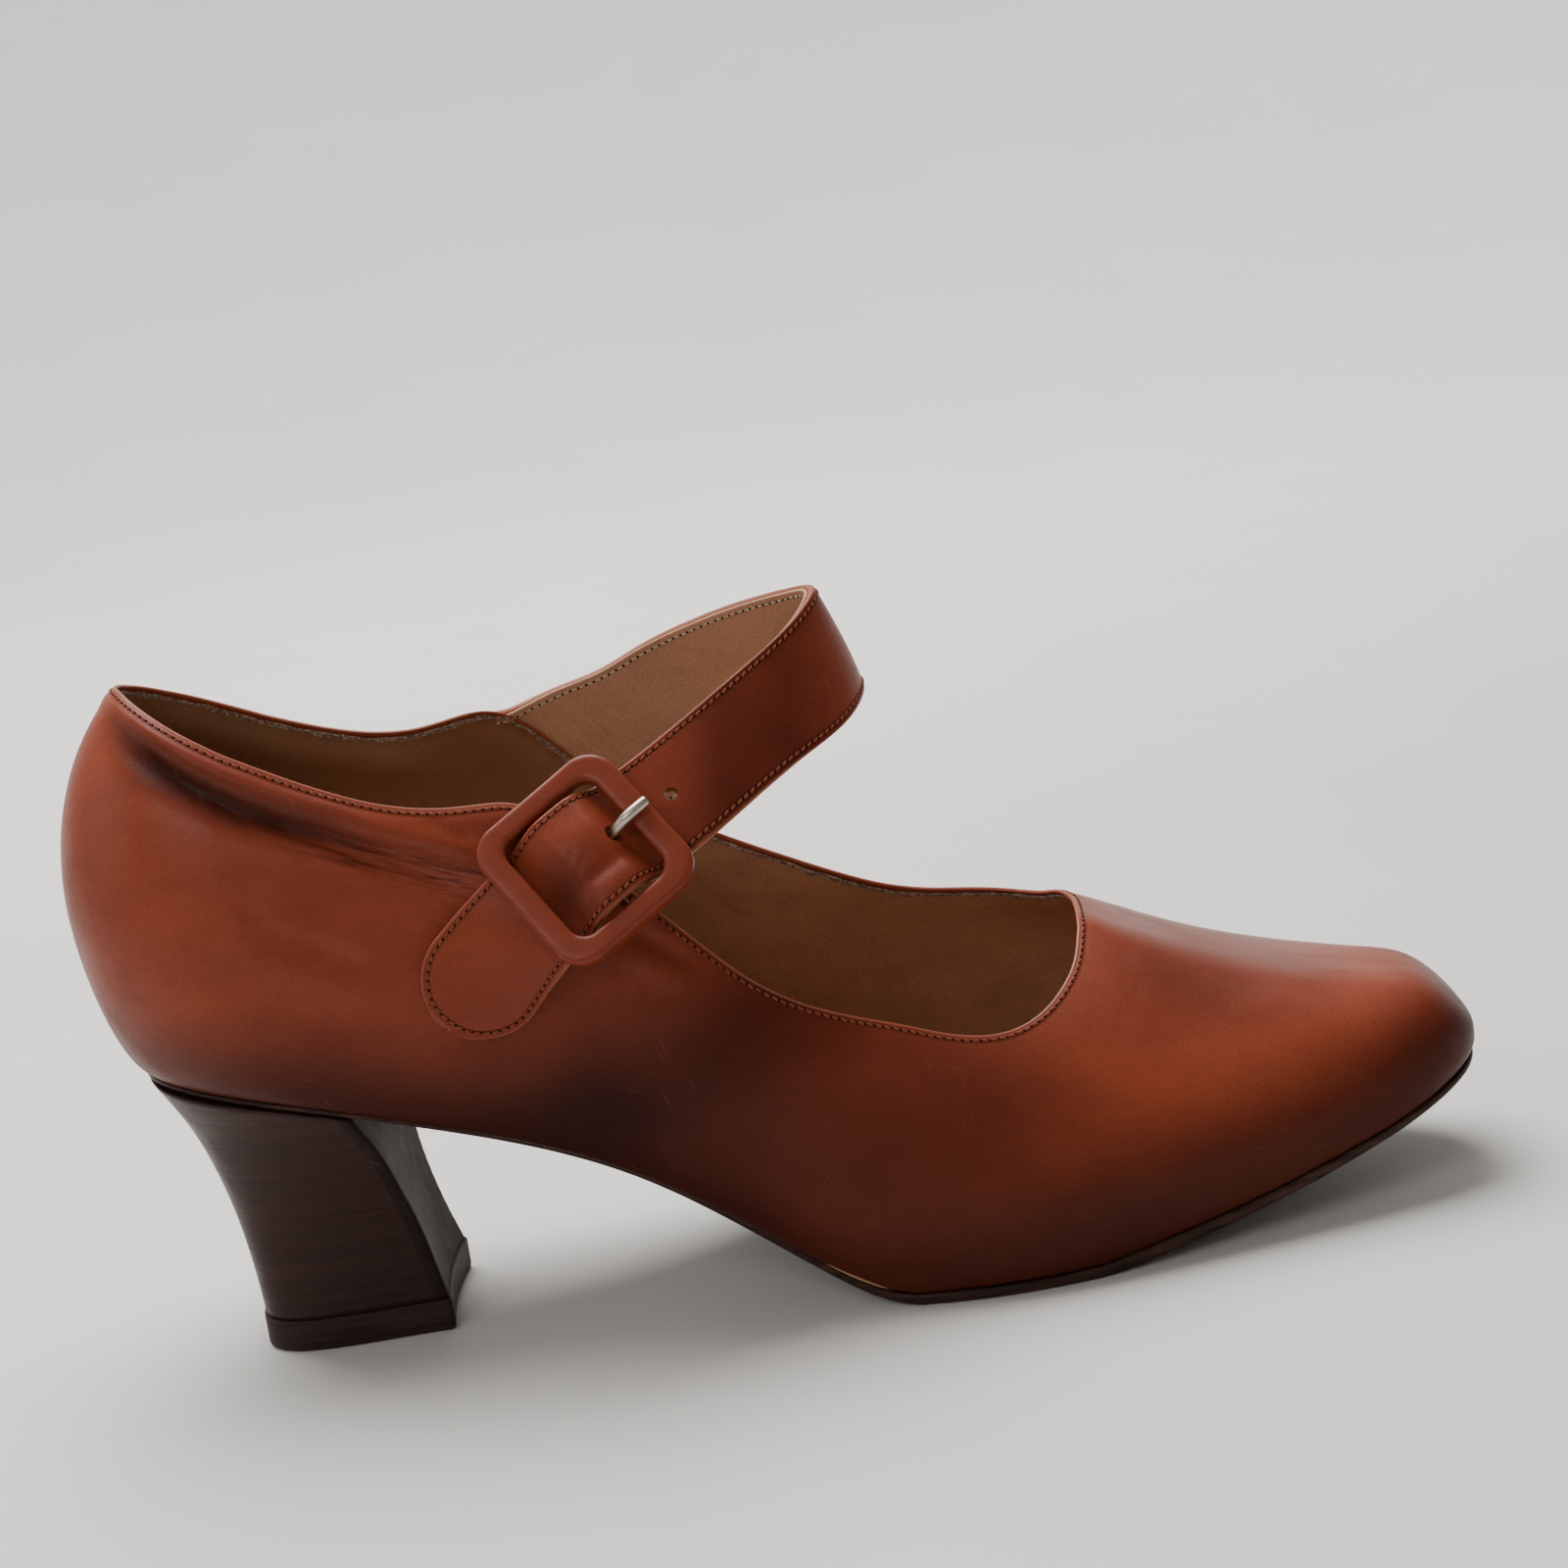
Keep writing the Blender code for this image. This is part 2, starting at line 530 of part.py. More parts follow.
def stack(name, levels, material_used):
    """A closed solid through a stack of loops with the same number of points."""
    levels = np.array(levels)
    rows, columns = levels.shape[:2]
    faces = grid_faces(rows, columns, wrap=True)
    middle = [levels[0].mean(axis=0), levels[-1].mean(axis=0)]
    points = np.concatenate([levels.reshape(-1, 3), middle])
    top = (rows - 1) * columns
    for j in range(columns):
        k = (j + 1) % columns
        faces.append((k, j, rows * columns))
        faces.append((top + j, top + k, rows * columns + 1))
    return new_mesh(name, points, faces, material_used)


def make_heel(block):
    levels = []
    for level in np.linspace(0, 1, 9):
        plan = heel_outline(level)
        low = LIFT_HEIGHT + GAP
        z = low + level * (sole_bottom(plan[:, 0]) - GAP - low)
        levels.append(np.column_stack([plan, z]))
    return stack("heel", levels, block)


def make_lift(rubber):
    levels = []
    for z in (0.0, 0.5, LIFT_HEIGHT):
        plan = heel_outline(0, LIFT_PROUD - (0.5 if z == 0 else 0.0))
        levels.append(np.column_stack([plan, np.full(len(plan), z)]))
    return stack("top_lift", levels, rubber)


def make_strap(leather):
    grid, frame = strap_surface(60, 6)
    normal = grid_normals(grid) * STRAP_THICK / 2
    strap = sheet("strap", grid - normal, grid + normal, leather)
    return strap, frame


def local(frame, s, w, n):
    origin, along, up, outward = frame
    s, w, n = (np.asarray(v, float)[..., None] for v in np.broadcast_arrays(s, w, n))
    return origin + s * along + w * up + n * outward


def rounded_rectangle(half_s, half_w, corner, count):
    """Points around a rectangle with round corners, evenly spaced by angle within each corner and side."""
    per = count // 4
    points = []
    for quarter in range(4):
        centre = np.array(((1, 1), (-1, 1), (-1, -1), (1, -1))[quarter]) * (half_s - corner, half_w - corner)
        for k in range(per):
            a = math.pi / 2 * (quarter + k / (per - 1))
            points.append(centre + corner * np.array([math.cos(a), math.sin(a)]))
    return np.array(points)


def make_buckle(frame, enamel):
    count = 40
    half_s, half_w = BUCKLE_ALONG / 2, BUCKLE_ACROSS / 2
    outer = rounded_rectangle(half_s, half_w, BUCKLE_CORNER, count)
    inner = rounded_rectangle(half_s - BAR_ALONG, half_w - BAR_ACROSS, WINDOW_CORNER, count)
    angle = np.arctan2(outer[:, 1] / BUCKLE_ACROSS, outer[:, 0] / BUCKLE_ALONG)
    low = BUCKLE_LOW - BUCKLE_SIDE_DROP * np.sin(angle) ** 4
    high = BUCKLE_LOW + BUCKLE_THICK
    rings = []
    for share, level in BUCKLE_SECTION:
        plan = outer + (inner - outer) * share
        rings.append(local(frame, plan[:, 0], plan[:, 1], low + (high - low) * level))
    rings = np.array(rings + rings[:1])
    faces = grid_faces(len(rings), count, wrap=True)
    buckle = new_mesh("buckle", rings.reshape(-1, 3), faces, enamel)
    bar_length = BUCKLE_ACROSS - 2 * CENTRE_BAR_INSET
    bar = rod("centre_bar", frame, (0, 0, CENTRE_BAR_HEIGHT), "w", CENTRE_BAR_RADIUS, bar_length, enamel)
    join(buckle, bar, "UNION")
    return buckle


def rod(name, frame, centre, axis, radius, length, material_used, sides=12):
    """A cylinder in the buckle's frame, along its s, w or n direction."""
    angle = np.linspace(0, 2 * math.pi, sides, endpoint=False)
    a, b = radius * np.cos(angle), radius * np.sin(angle)
    order = {"w": (1, 2, 0), "n": (2, 0, 1), "s": (0, 1, 2)}[axis]
    levels = []
    for end in (-length / 2, length / 2):
        parts = [None] * 3
        for slot, value in zip(order, (np.full(sides, end), a, b)):
            parts[slot] = value + centre[slot]
        levels.append(local(frame, *parts))
    return stack(name, levels, material_used)


def join(target, tool, operation):
    """Applies a Boolean with a tool object, which is then only a guide."""
    change = target.modifiers.new(tool.name, "BOOLEAN")
    change.operation = operation
    change.solver = "EXACT"
    change.object = tool
    shoe.objects.unlink(tool)
    cutters.objects.link(tool)
    tool.hide_render = True
    tool.display_type = "WIRE"


def make_tab(frame, leather):
    """The leather loop that holds the buckle's centre bar to the edge of the quarter, slit for the prong."""
    outer = CENTRE_BAR_RADIUS + GAP + TAB_THICK
    turn = np.radians(np.linspace(*TAB_WRAP, 16))
    profile = [(outer * math.cos(a), CENTRE_BAR_HEIGHT + outer * math.sin(a)) for a in turn]
    profile += [(-TAB_TAIL, TAB_TAIL_HIGH), (-TAB_TAIL, TAB_TAIL_LOW)]
    levels = []
    for w in np.array([-1, 1]) * TAB_WIDTH / 2:
        levels.append(local(frame, [p[0] for p in profile], w, [p[1] for p in profile]))
    tab = stack("buckle_tab", levels, leather)
    centre, radius = (0, 0, CENTRE_BAR_HEIGHT), CENTRE_BAR_RADIUS + GAP
    join(tab, rod("bar_hole", frame, centre, "w", radius, TAB_WIDTH + 2, leather), "DIFFERENCE")
    slit = []
    for w in np.array([-1, 1]) * TAB_SLIT / 2:
        slit.append(local(frame, SLIT_ALONG + SLIT_ALONG[::-1], w, np.repeat(SLIT_OUT, 2)))
    join(tab, stack("prong_slit", slit, leather), "DIFFERENCE")
    return tab


def make_prong(frame, steel):
    """The tongue of the buckle: a hook round the centre bar, up through the strap and over the far bar."""
    hook = CENTRE_BAR_RADIUS + GAP + PRONG_THIN
    path = []
    for a in np.radians(PRONG_WRAP):
        path.append((hook * math.cos(a), CENTRE_BAR_HEIGHT + hook * math.sin(a), PRONG_THIN))
    rest = BUCKLE_LOW + BUCKLE_THICK + GAP + PRONG_RADIUS
    path += [(s, n, radius) for s, n, radius in PRONG_PATH]
    path += [(s, rest, radius) for s, radius in PRONG_ON_BAR]
    path = np.array(path)
    turn = np.gradient(path[:, :2], axis=0)
    turn /= np.linalg.norm(turn, axis=1, keepdims=True)
    angle = np.linspace(0, 2 * math.pi, 12, endpoint=False)
    rings = []
    for (s, n, radius), (ts, tn) in zip(path, turn):
        sideways, outward = radius * np.cos(angle), radius * np.sin(angle)
        rings.append(local(frame, s - tn * outward, sideways, n + ts * outward))
    return stack("prong", rings, steel)


def cut_strap_hole(strap, frame, leather):
    """The hole that the prong passes through, square to the strap where it dips under the far bar."""
    angle = np.linspace(0, 2 * math.pi, 16, endpoint=False)
    (s, n), (ts, tn) = STRAP_HOLE_PLACE, STRAP_HOLE_TILT
    across, outward = STRAP_HOLE_RADIUS * np.cos(angle), STRAP_HOLE_RADIUS * np.sin(angle)
    rings = []
    for far in (-HOLE_CUT, HOLE_CUT):
        rings.append(local(frame, s + far * ts - tn * outward, across, n + far * tn + ts * outward))
    join(strap, stack("strap_hole", rings, leather), "DIFFERENCE")


for old in list(bpy.data.objects):
    bpy.data.objects.remove(old)
shoe = bpy.data.collections.new("mary_jane_pump")
cutters = bpy.data.collections.new("cutters")
bpy.context.scene.collection.children.link(shoe)
bpy.context.scene.collection.children.link(cutters)

brown_leather = material("brown_leather", (0.19, 0.045, 0.02), 0.38)
sole_edge = material("sole_edge", (0.03, 0.015, 0.01), 0.45)
tan_lining = material("tan_lining", (0.16, 0.09, 0.04), 0.7)
stacked_heel = material("stacked_heel", (0.045, 0.02, 0.016), 0.4)
lift_rubber = material("lift_rubber", (0.03, 0.018, 0.015), 0.6)
buckle_enamel = material("buckle_enamel", (0.2, 0.05, 0.025), 0.3)
prong_steel = material("prong_steel", (0.7, 0.66, 0.58), 0.25, 1.0)

make_upper(brown_leather)
make_outsole(sole_edge)
make_insole(tan_lining)
make_heel(stacked_heel)
make_lift(lift_rubber)
strap, buckle_frame = make_strap(brown_leather)
make_buckle(buckle_frame, buckle_enamel)
make_prong(buckle_frame, prong_steel)
make_tab(buckle_frame, brown_leather)
cut_strap_hole(strap, buckle_frame, brown_leather)
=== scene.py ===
# %% [markdown]
# # A Mary Jane pump, piece by piece
# This lesson dresses the plain solids of a right Mary Jane pump: a one-piece leather upper on a last, an
# instep strap with a covered square buckle, a raked heel block and a thin sole. Every piece is grown from the
# same few tables of sizes as the solids, with many more steps, so it lies close over them. Only the topline
# beside the strap, the throat's medial side, the strap's sewn base and the sock differ, by some millimetres.

import math

import bmesh
import bpy
import numpy as np
from mathutils import Matrix, Vector, noise

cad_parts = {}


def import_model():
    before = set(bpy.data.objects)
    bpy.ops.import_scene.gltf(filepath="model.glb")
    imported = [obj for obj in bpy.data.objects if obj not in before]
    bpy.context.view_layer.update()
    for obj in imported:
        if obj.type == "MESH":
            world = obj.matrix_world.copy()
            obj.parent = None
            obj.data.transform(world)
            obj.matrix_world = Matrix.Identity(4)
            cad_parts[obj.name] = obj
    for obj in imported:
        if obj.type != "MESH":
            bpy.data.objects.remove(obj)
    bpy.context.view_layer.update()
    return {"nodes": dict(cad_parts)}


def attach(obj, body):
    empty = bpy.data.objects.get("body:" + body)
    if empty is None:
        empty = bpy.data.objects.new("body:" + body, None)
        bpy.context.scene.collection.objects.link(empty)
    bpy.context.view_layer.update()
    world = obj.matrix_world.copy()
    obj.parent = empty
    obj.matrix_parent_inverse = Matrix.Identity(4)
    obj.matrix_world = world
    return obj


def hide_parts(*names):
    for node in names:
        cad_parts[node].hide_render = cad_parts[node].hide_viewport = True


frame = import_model()
nodes = frame["nodes"]
print("solids:", ", ".join(sorted(nodes)))

# %% [markdown]
# ## The shoemaker's sizes
# A shoe is built on a last, so the last is the first table: its half widths at the feather line and where it
# is widest, and the ridge on top. The sole, the topline, the heel and the strap have tables of their own. All
# sizes are millimetres, x runs from the back of the heel to the toe and y is negative on the lateral side.

# %% Tables of sizes
MM = 0.001
MIDDLE_X, MIDDLE_Y = 128.0, -3.0
GAP = 0.3
LATERAL, MEDIAL = -1, 1

# Both ends of every outline are super-ellipses: a round heel and a square toe.
HEEL_ROUND, HEEL_POWER = 36.0, 2.25
TOE_ROUND, TOE_POWER = 24.0, 3.2
UPPER_START, UPPER_END = 1.5, 254.5
SEAT_START, SEAT_END = 10.3, 253.4
# The upper closes towards a line that runs inside the opening, from over the heel seat to under the throat.
LINE_START, LINE_END, LINE_SOFTNESS = 38.0, 150.0, 6.0
THROAT_LENGTH, THROAT_POWER, MEDIAL_THROAT_POWER = 34.5, 2.8, 2.15
FEATHER_POWER = 1.65
TURN_WEIGHT = 28.0

# Underside of the sole (below zero means flat on the floor), its thickness, and how far it passes the upper.
SOLE_COLUMNS = ("x", "bottom", "thick", "edge")
SOLE = (
    (0, 54.7, 1.2, 0.0),
    (20, 52.2, 1.2, 0.0),
    (40, 48.5, 1.2, -0.2),
    (60, 42.9, 1.2, -0.8),
    (80, 36.0, 1.2, -1.1),
    (100, 26.6, 1.3, -1.1),
    (120, 13.6, 1.6, -0.6),
    (130, 6.9, 1.8, -0.1),
    (140, 1.4, 1.9, 0.3),
    (150, -0.4, 2.0, 0.5),
    (162, -0.7, 2.0, 0.6),
    (174, -0.4, 2.1, 0.6),
    (186, 1.0, 2.4, 0.5),
    (200, 3.6, 2.4, 0.5),
    (220, 8.5, 2.1, 0.5),
    (240, 14.9, 1.6, 0.5),
    (255, 21.0, 1.6, 0.5),
)

# Sections of the last: half widths at the feather line and where it is widest, the height of the widest
# place, the height and the sideways place of the ridge, and how full each flank is between the two.
LAST_COLUMNS = (
    *("x", "seat_lat", "seat_med", "wide_lat", "wide_med", "wide_z"),
    *("ridge_z", "full_lat", "full_med", "ridge_y"),
)
LAST = (
    (0, 27.5, 20.5, 32.5, 25.5, 88.0, 133.5, 1.97, 1.97, -3.5),
    (20, 29.5, 22.5, 35.0, 28.0, 76.0, 133.5, 2.0, 2.0, -3.5),
    (40, 31.0, 23.5, 36.4, 29.0, 66.0, 130.0, 2.1, 2.1, -3.5),
    (60, 31.6, 23.2, 36.8, 29.4, 60.0, 121.0, 2.3, 2.2, -2.5),
    (80, 31.0, 22.6, 36.0, 30.4, 53.0, 114.0, 2.6, 2.4, 0.5),
    (100, 31.2, 24.0, 36.2, 32.6, 43.0, 106.0, 2.9, 2.6, 4.0),
    (120, 34.2, 28.6, 38.2, 35.8, 29.0, 92.0, 2.3, 2.5, 7.5),
    (140, 39.0, 35.2, 41.6, 39.2, 17.0, 75.0, 1.9, 2.4, 10.0),
    (160, 41.0, 39.2, 43.2, 41.2, 13.5, 64.2, 1.75, 2.4, 10.0),
    (180, 38.4, 39.8, 40.6, 41.7, 14.0, 58.2, 1.7, 2.4, 9.0),
    (200, 33.0, 36.6, 35.0, 38.4, 16.0, 49.3, 1.8, 2.4, 8.0),
    (220, 27.2, 31.8, 28.8, 33.2, 18.5, 42.9, 2.0, 2.6, 7.0),
    (240, 20.4, 25.4, 21.8, 26.6, 22.0, 40.6, 2.8, 3.6, 5.0),
    (249, 17.4, 22.4, 18.7, 23.5, 23.6, 38.4, 3.6, 4.0, 3.5),
    (255, 15.4, 20.4, 16.6, 21.4, 24.6, 31.5, 4.4, 4.4, 2.5),
)

# Height of the topline behind the throat, seen from each side.
TOPLINE_COLUMNS = ("x", "lat", "med")
TOPLINE = (
    (0, 134.5, 134.5),
    (12, 128.4, 127.4),
    (20, 124.7, 121.4),
    (30, 118.6, 115.5),
    (42, 111.7, 109.7),
    (60, 103.1, 104.6),
    (70, 99.8, 105.1),
    (78, 98.8, 107.2),
    (84, 98.6, 106.2),
    (91, 97.2, 97.6),
    (98, 88.6, 88.8),
    (112, 73.9, 78.2),
    (123, 62.2, 72.0),
    (137, 53.5, 65.4),
    (150, 48.6, 59.6),
    (165, 45.4, 56.8),
)

INSOLE_THICK, INSOLE_INSET = 2.2, 1.3

# The heel block from the top of its lift (0) to the seat (1).
LIFT_HEIGHT, LIFT_PROUD = 6.0, 0.35
HEEL_COLUMNS = ("level", "back", "breast", "half", "square", "flare", "skew")
HEEL = (
    (0.0, 24.6, 60.3, 16.4, 4.2, 0.18, 0.0),
    (0.14, 24.1, 59.3, 16.7, 4.0, 0.17, 0.8),
    (0.38, 22.5, 57.8, 18.0, 3.4, 0.12, 2.0),
    (0.63, 19.5, 55.5, 20.8, 2.8, 0.06, 1.7),
    (0.84, 15.4, 53.1, 24.2, 2.5, 0.0, 0.7),
    (1.0, 10.7, 49.8, 27.2, 2.3, 0.0, 0.0),
)
HEEL_MIDDLE, HEEL_STRAIGHT, BREAST_HOLLOW = -4.2, 0.12, 1.2

STRAP_THICK = 2.2
STRAP_TIP_RADIUS = 11.0
# Free sections of the strap, from the buckle over the instep to the medial quarter: middle of the section
# (x, y, z), how far its width leans back in side view and in towards the shoe, in degrees, width and bulge.
STRAP_FREE = (
    (114.3, -28.8, 94.6, 37, 29, 18.0, 0.3),
    (123.4, -24.2, 99.5, 36, 25, 17.9, 0.3),
    (133.4, -18.0, 104.8, 33, 18, 18.4, 0.4),
    (140.5, -12.0, 108.3, 28, 12, 19.4, 0.4),
    (145.0, -6.0, 111.3, 24, 6, 19.8, 0.4),
    (146.9, 1.0, 113.4, 19, 0, 20.4, 0.4),
    (145.4, 8.5, 113.2, 21, 3, 20.6, 0.4),
    (138.6, 16.5, 111.7, 28, 8, 20.8, 0.4),
    (128.0, 23.5, 107.8, 31, 12, 23.0, 0.4),
    (116.6, 27.8, 100.6, 27, 12, 28.5, 0.5),
)
# Sections that lie on a quarter, and lean in above the topline: x, z, rake, width and lean.
STRAP_TIP_ROWS = ((70.8, 62.4, 46, 21.6, 0), (79.0, 70.6, 44, 21.6, 0))
UNDER_BAR_ROW = (88.4, -37.7, 79.4, 41, 22, 19.4, 0.1)
BUCKLE_ROW = (99.2, -34.4, 86.6, 38, 31, 18.4, 0.2)
STRAP_BASE_ROWS = (
    (104.8, 95.2, 16, 30.0, 14),
    (95.0, 95.6, 18, 25.0, 14),
    (86.4, 99.4, 22, 13.6, 14),
    (81.3, 102.9, 22, 5.2, 14),
)
QUARTER_LIFT = 0.3

BUCKLE_ALONG, BUCKLE_ACROSS = 29.0, 30.6
BAR_ALONG, BAR_ACROSS = 4.6, 4.1
BUCKLE_CORNER, WINDOW_CORNER = 5.8, 3.2
BUCKLE_LOW, BUCKLE_THICK, BUCKLE_SIDE_DROP = 3.2, 2.6, 1.6
CENTRE_BAR_RADIUS, CENTRE_BAR_HEIGHT, CENTRE_BAR_INSET = 0.7, 2.2, 2.0
# The strap stands off to the buckle's bars: how far, and where along it that starts and ends.
STRAP_RISE, RISE_START, RISE_FULL, FALL_START, FALL_END = 4.7, -10.2, -2.0, 3.2, 10.2
STRAP_HOLE_RADIUS, STRAP_HOLE_PLACE, STRAP_HOLE_TILT, HOLE_CUT = 2.0, (5.7, 4.4), (0.69, 0.72), 4.0
PRONG_THIN, PRONG_RADIUS, PRONG_WRAP = 0.6, 1.05, (190, 160, 130, 105)
# The prong past its hook: along the buckle, out from it, and radius; then along and radius on the far bar.
PRONG_PATH = (
    (1.4, 3.7, 0.6),
    (3.2, 3.7, 0.62),
    (5.0, 4.05, 0.8),
    (6.6, 4.85, 0.95),
    (8.0, 5.9, 1.05),
    (9.4, 6.85, 1.05),
)
PRONG_ON_BAR = ((11.2, 1.05), (12.8, 1.05), (14.0, 1.0), (14.6, 0.75), (14.85, 0.35))
print("an upper", UPPER_END - UPPER_START, "mm long")

# %% [markdown]
# ## Smooth curves through a table
# Between the rows of a table the sizes follow a natural cubic spline, the curve a draughtsman's thin batten
# takes between its weights. Outlines are rounded at both ends with super-ellipses, which give a round heel
# and a square toe from the same formula.

# %% Curves and outlines
def spline(columns, rows, name):
    """A natural cubic spline through one named column of a table, as a function of its first column."""
    table = np.array(rows, float)
    at, value = table[:, 0], table[:, columns.index(name)]
    step = np.diff(at)
    matrix, right = np.eye(len(at)), np.zeros(len(at))
    for i in range(1, len(at) - 1):
        matrix[i, i - 1 : i + 2] = step[i - 1], 2 * (step[i - 1] + step[i]), step[i]
        right[i] = 6 * ((value[i + 1] - value[i]) / step[i] - (value[i] - value[i - 1]) / step[i - 1])
    bend = np.linalg.solve(matrix, right)

    def curve(x):
        x = np.clip(x, at[0], at[-1])
        k = np.clip(np.searchsorted(at, x) - 1, 0, len(at) - 2)
        after, before, width = x - at[k], at[k + 1] - x, step[k]
        ends = (value[k] / width - bend[k] * width / 6) * before
        ends = ends + (value[k + 1] / width - bend[k + 1] * width / 6) * after
        return (bend[k] * before**3 + bend[k + 1] * after**3) / (6 * width) + ends

    return curve


def curves(columns, rows):
    return {name: spline(columns, rows, name) for name in columns[1:]}


sole = curves(SOLE_COLUMNS, SOLE)
last = curves(LAST_COLUMNS, LAST)
topline = curves(TOPLINE_COLUMNS, TOPLINE)
heel = curves(HEEL_COLUMNS, HEEL)


def hill(*offsets):
    """A smooth hill, 1 high where every offset, given in shares of its width, is zero."""
    return np.exp(-sum(offset**2 for offset in offsets))


def smooth_step(x, low, high):
    """Rises smoothly from 0 at low to 1 at high."""
    t = np.clip((x - low) / (high - low), 0, 1)
    return t * t * (3 - 2 * t)


def by_side(side, lateral, medial):
    return np.where(np.asarray(side) < 0, lateral, medial)


def sole_bottom(x):
    return np.maximum(sole["bottom"](x), 0.0)


def sole_top(x):
    return sole_bottom(x) + sole["thick"](x)


def distances(points):
    """How far along a line each of its points is."""
    return np.concatenate([[0], np.cumsum(np.linalg.norm(np.diff(points, axis=0), axis=1))])


def on_line(at, along, points):
    """Points of a line at given distances along it."""
    return np.stack([np.interp(at, along, column) for column in points.T], axis=1)


def even_steps(points, count, turn_weight=TURN_WEIGHT):
    """Resamples a line of points to count steps, shorter where the line turns."""
    move = np.diff(points, axis=0)
    length = np.linalg.norm(move, axis=1)
    heading = move / np.maximum(length, 1e-9)[:, None]
    turn = np.arccos(np.clip((heading[1:] * heading[:-1]).sum(axis=1), -1, 1))
    weight = length.copy()
    weight[1:] += turn_weight * turn
    along = np.concatenate([[0], np.cumsum(weight)])
    return on_line(np.linspace(0, along[-1], count + 1), along, points)


def half_outline(kind, side, start, end, count, grow=0.0):
    """Plan points of one side of an outline of the last, from the heel to the toe."""
    x = start + (end - start) * (1 - np.cos(np.linspace(0, math.pi, 1200))) / 2
    into_heel = np.clip((start + HEEL_ROUND - x) / HEEL_ROUND, 0, 1)
    into_toe = np.clip((x - end + TOE_ROUND) / TOE_ROUND, 0, 1)
    rounding = (1 - into_heel**HEEL_POWER) ** (1 / HEEL_POWER) * (1 - into_toe**TOE_POWER) ** (1 / TOE_POWER)
    grow = grow(x) if callable(grow) else grow
    lateral, medial = last[kind + "_lat"](x) + grow, last[kind + "_med"](x) + grow
    y = (medial - lateral) / 2 + side * (medial + lateral) / 2 * rounding
    return even_steps(np.stack([x, y], axis=1), count)


def closed_outline(kind, start, end, count):
    """Plan loop along the lateral side to the toe and back along the medial side, and each point's side."""
    out = half_outline(kind, LATERAL, start, end, count)[:-1]
    back = half_outline(kind, MEDIAL, start, end, count)[:0:-1]
    return np.concatenate([out, back]), np.repeat([LATERAL, MEDIAL], count)


def inner_line(x):
    """The place on the inner line that the column of the upper at x closes towards."""
    x = LINE_START + LINE_SOFTNESS * np.logaddexp(0, (x - LINE_START) / LINE_SOFTNESS)
    return LINE_END - LINE_SOFTNESS * np.logaddexp(0, (LINE_END - x) / LINE_SOFTNESS)


print("the sole is lowest at", round(float(min(sole["bottom"](np.arange(100.0, 250.0)))), 1), "mm")

# %% [markdown]
# ## The skin of the last
# The upper could be sculpted, or grown from profiles. It is grown here: every column starts at the feather
# line by the sole, passes the widest place, and closes towards a line inside the opening, until it meets the
# topline. That keeps the rows level round the heel and the toe, where a box-shaped mesh would pinch.

# %% The outer face of the upper
# How finely a column is drawn below and above its widest place, and how exactly it ends at the topline.
LOW_STEPS, HIGH_STEPS, HALVINGS = 60, 240, 40


def quarter_y(x, z, side):
    """Where the outer face of the upper is, on one side, at a place of the side view."""
    widest = last["wide_z"](x)
    full = by_side(side, last["full_lat"](x), last["full_med"](x))
    middle = last["ridge_y"](x)
    reach = by_side(side, -last["wide_lat"](x), last["wide_med"](x))
    foot = by_side(side, -last["seat_lat"](x), last["seat_med"](x))
    up = np.clip((z - widest) / (last["ridge_z"](x) - widest), 0, 1)
    down = np.clip((widest - z) / (widest - sole_top(x) - GAP), 0, 1)
    above = middle + (1 - up**full) ** (1 / full) * (reach - middle)
    below = foot + (reach - foot) * (1 - down**FEATHER_POWER) ** (1 / FEATHER_POWER)
    return np.where(z >= widest, above, below)


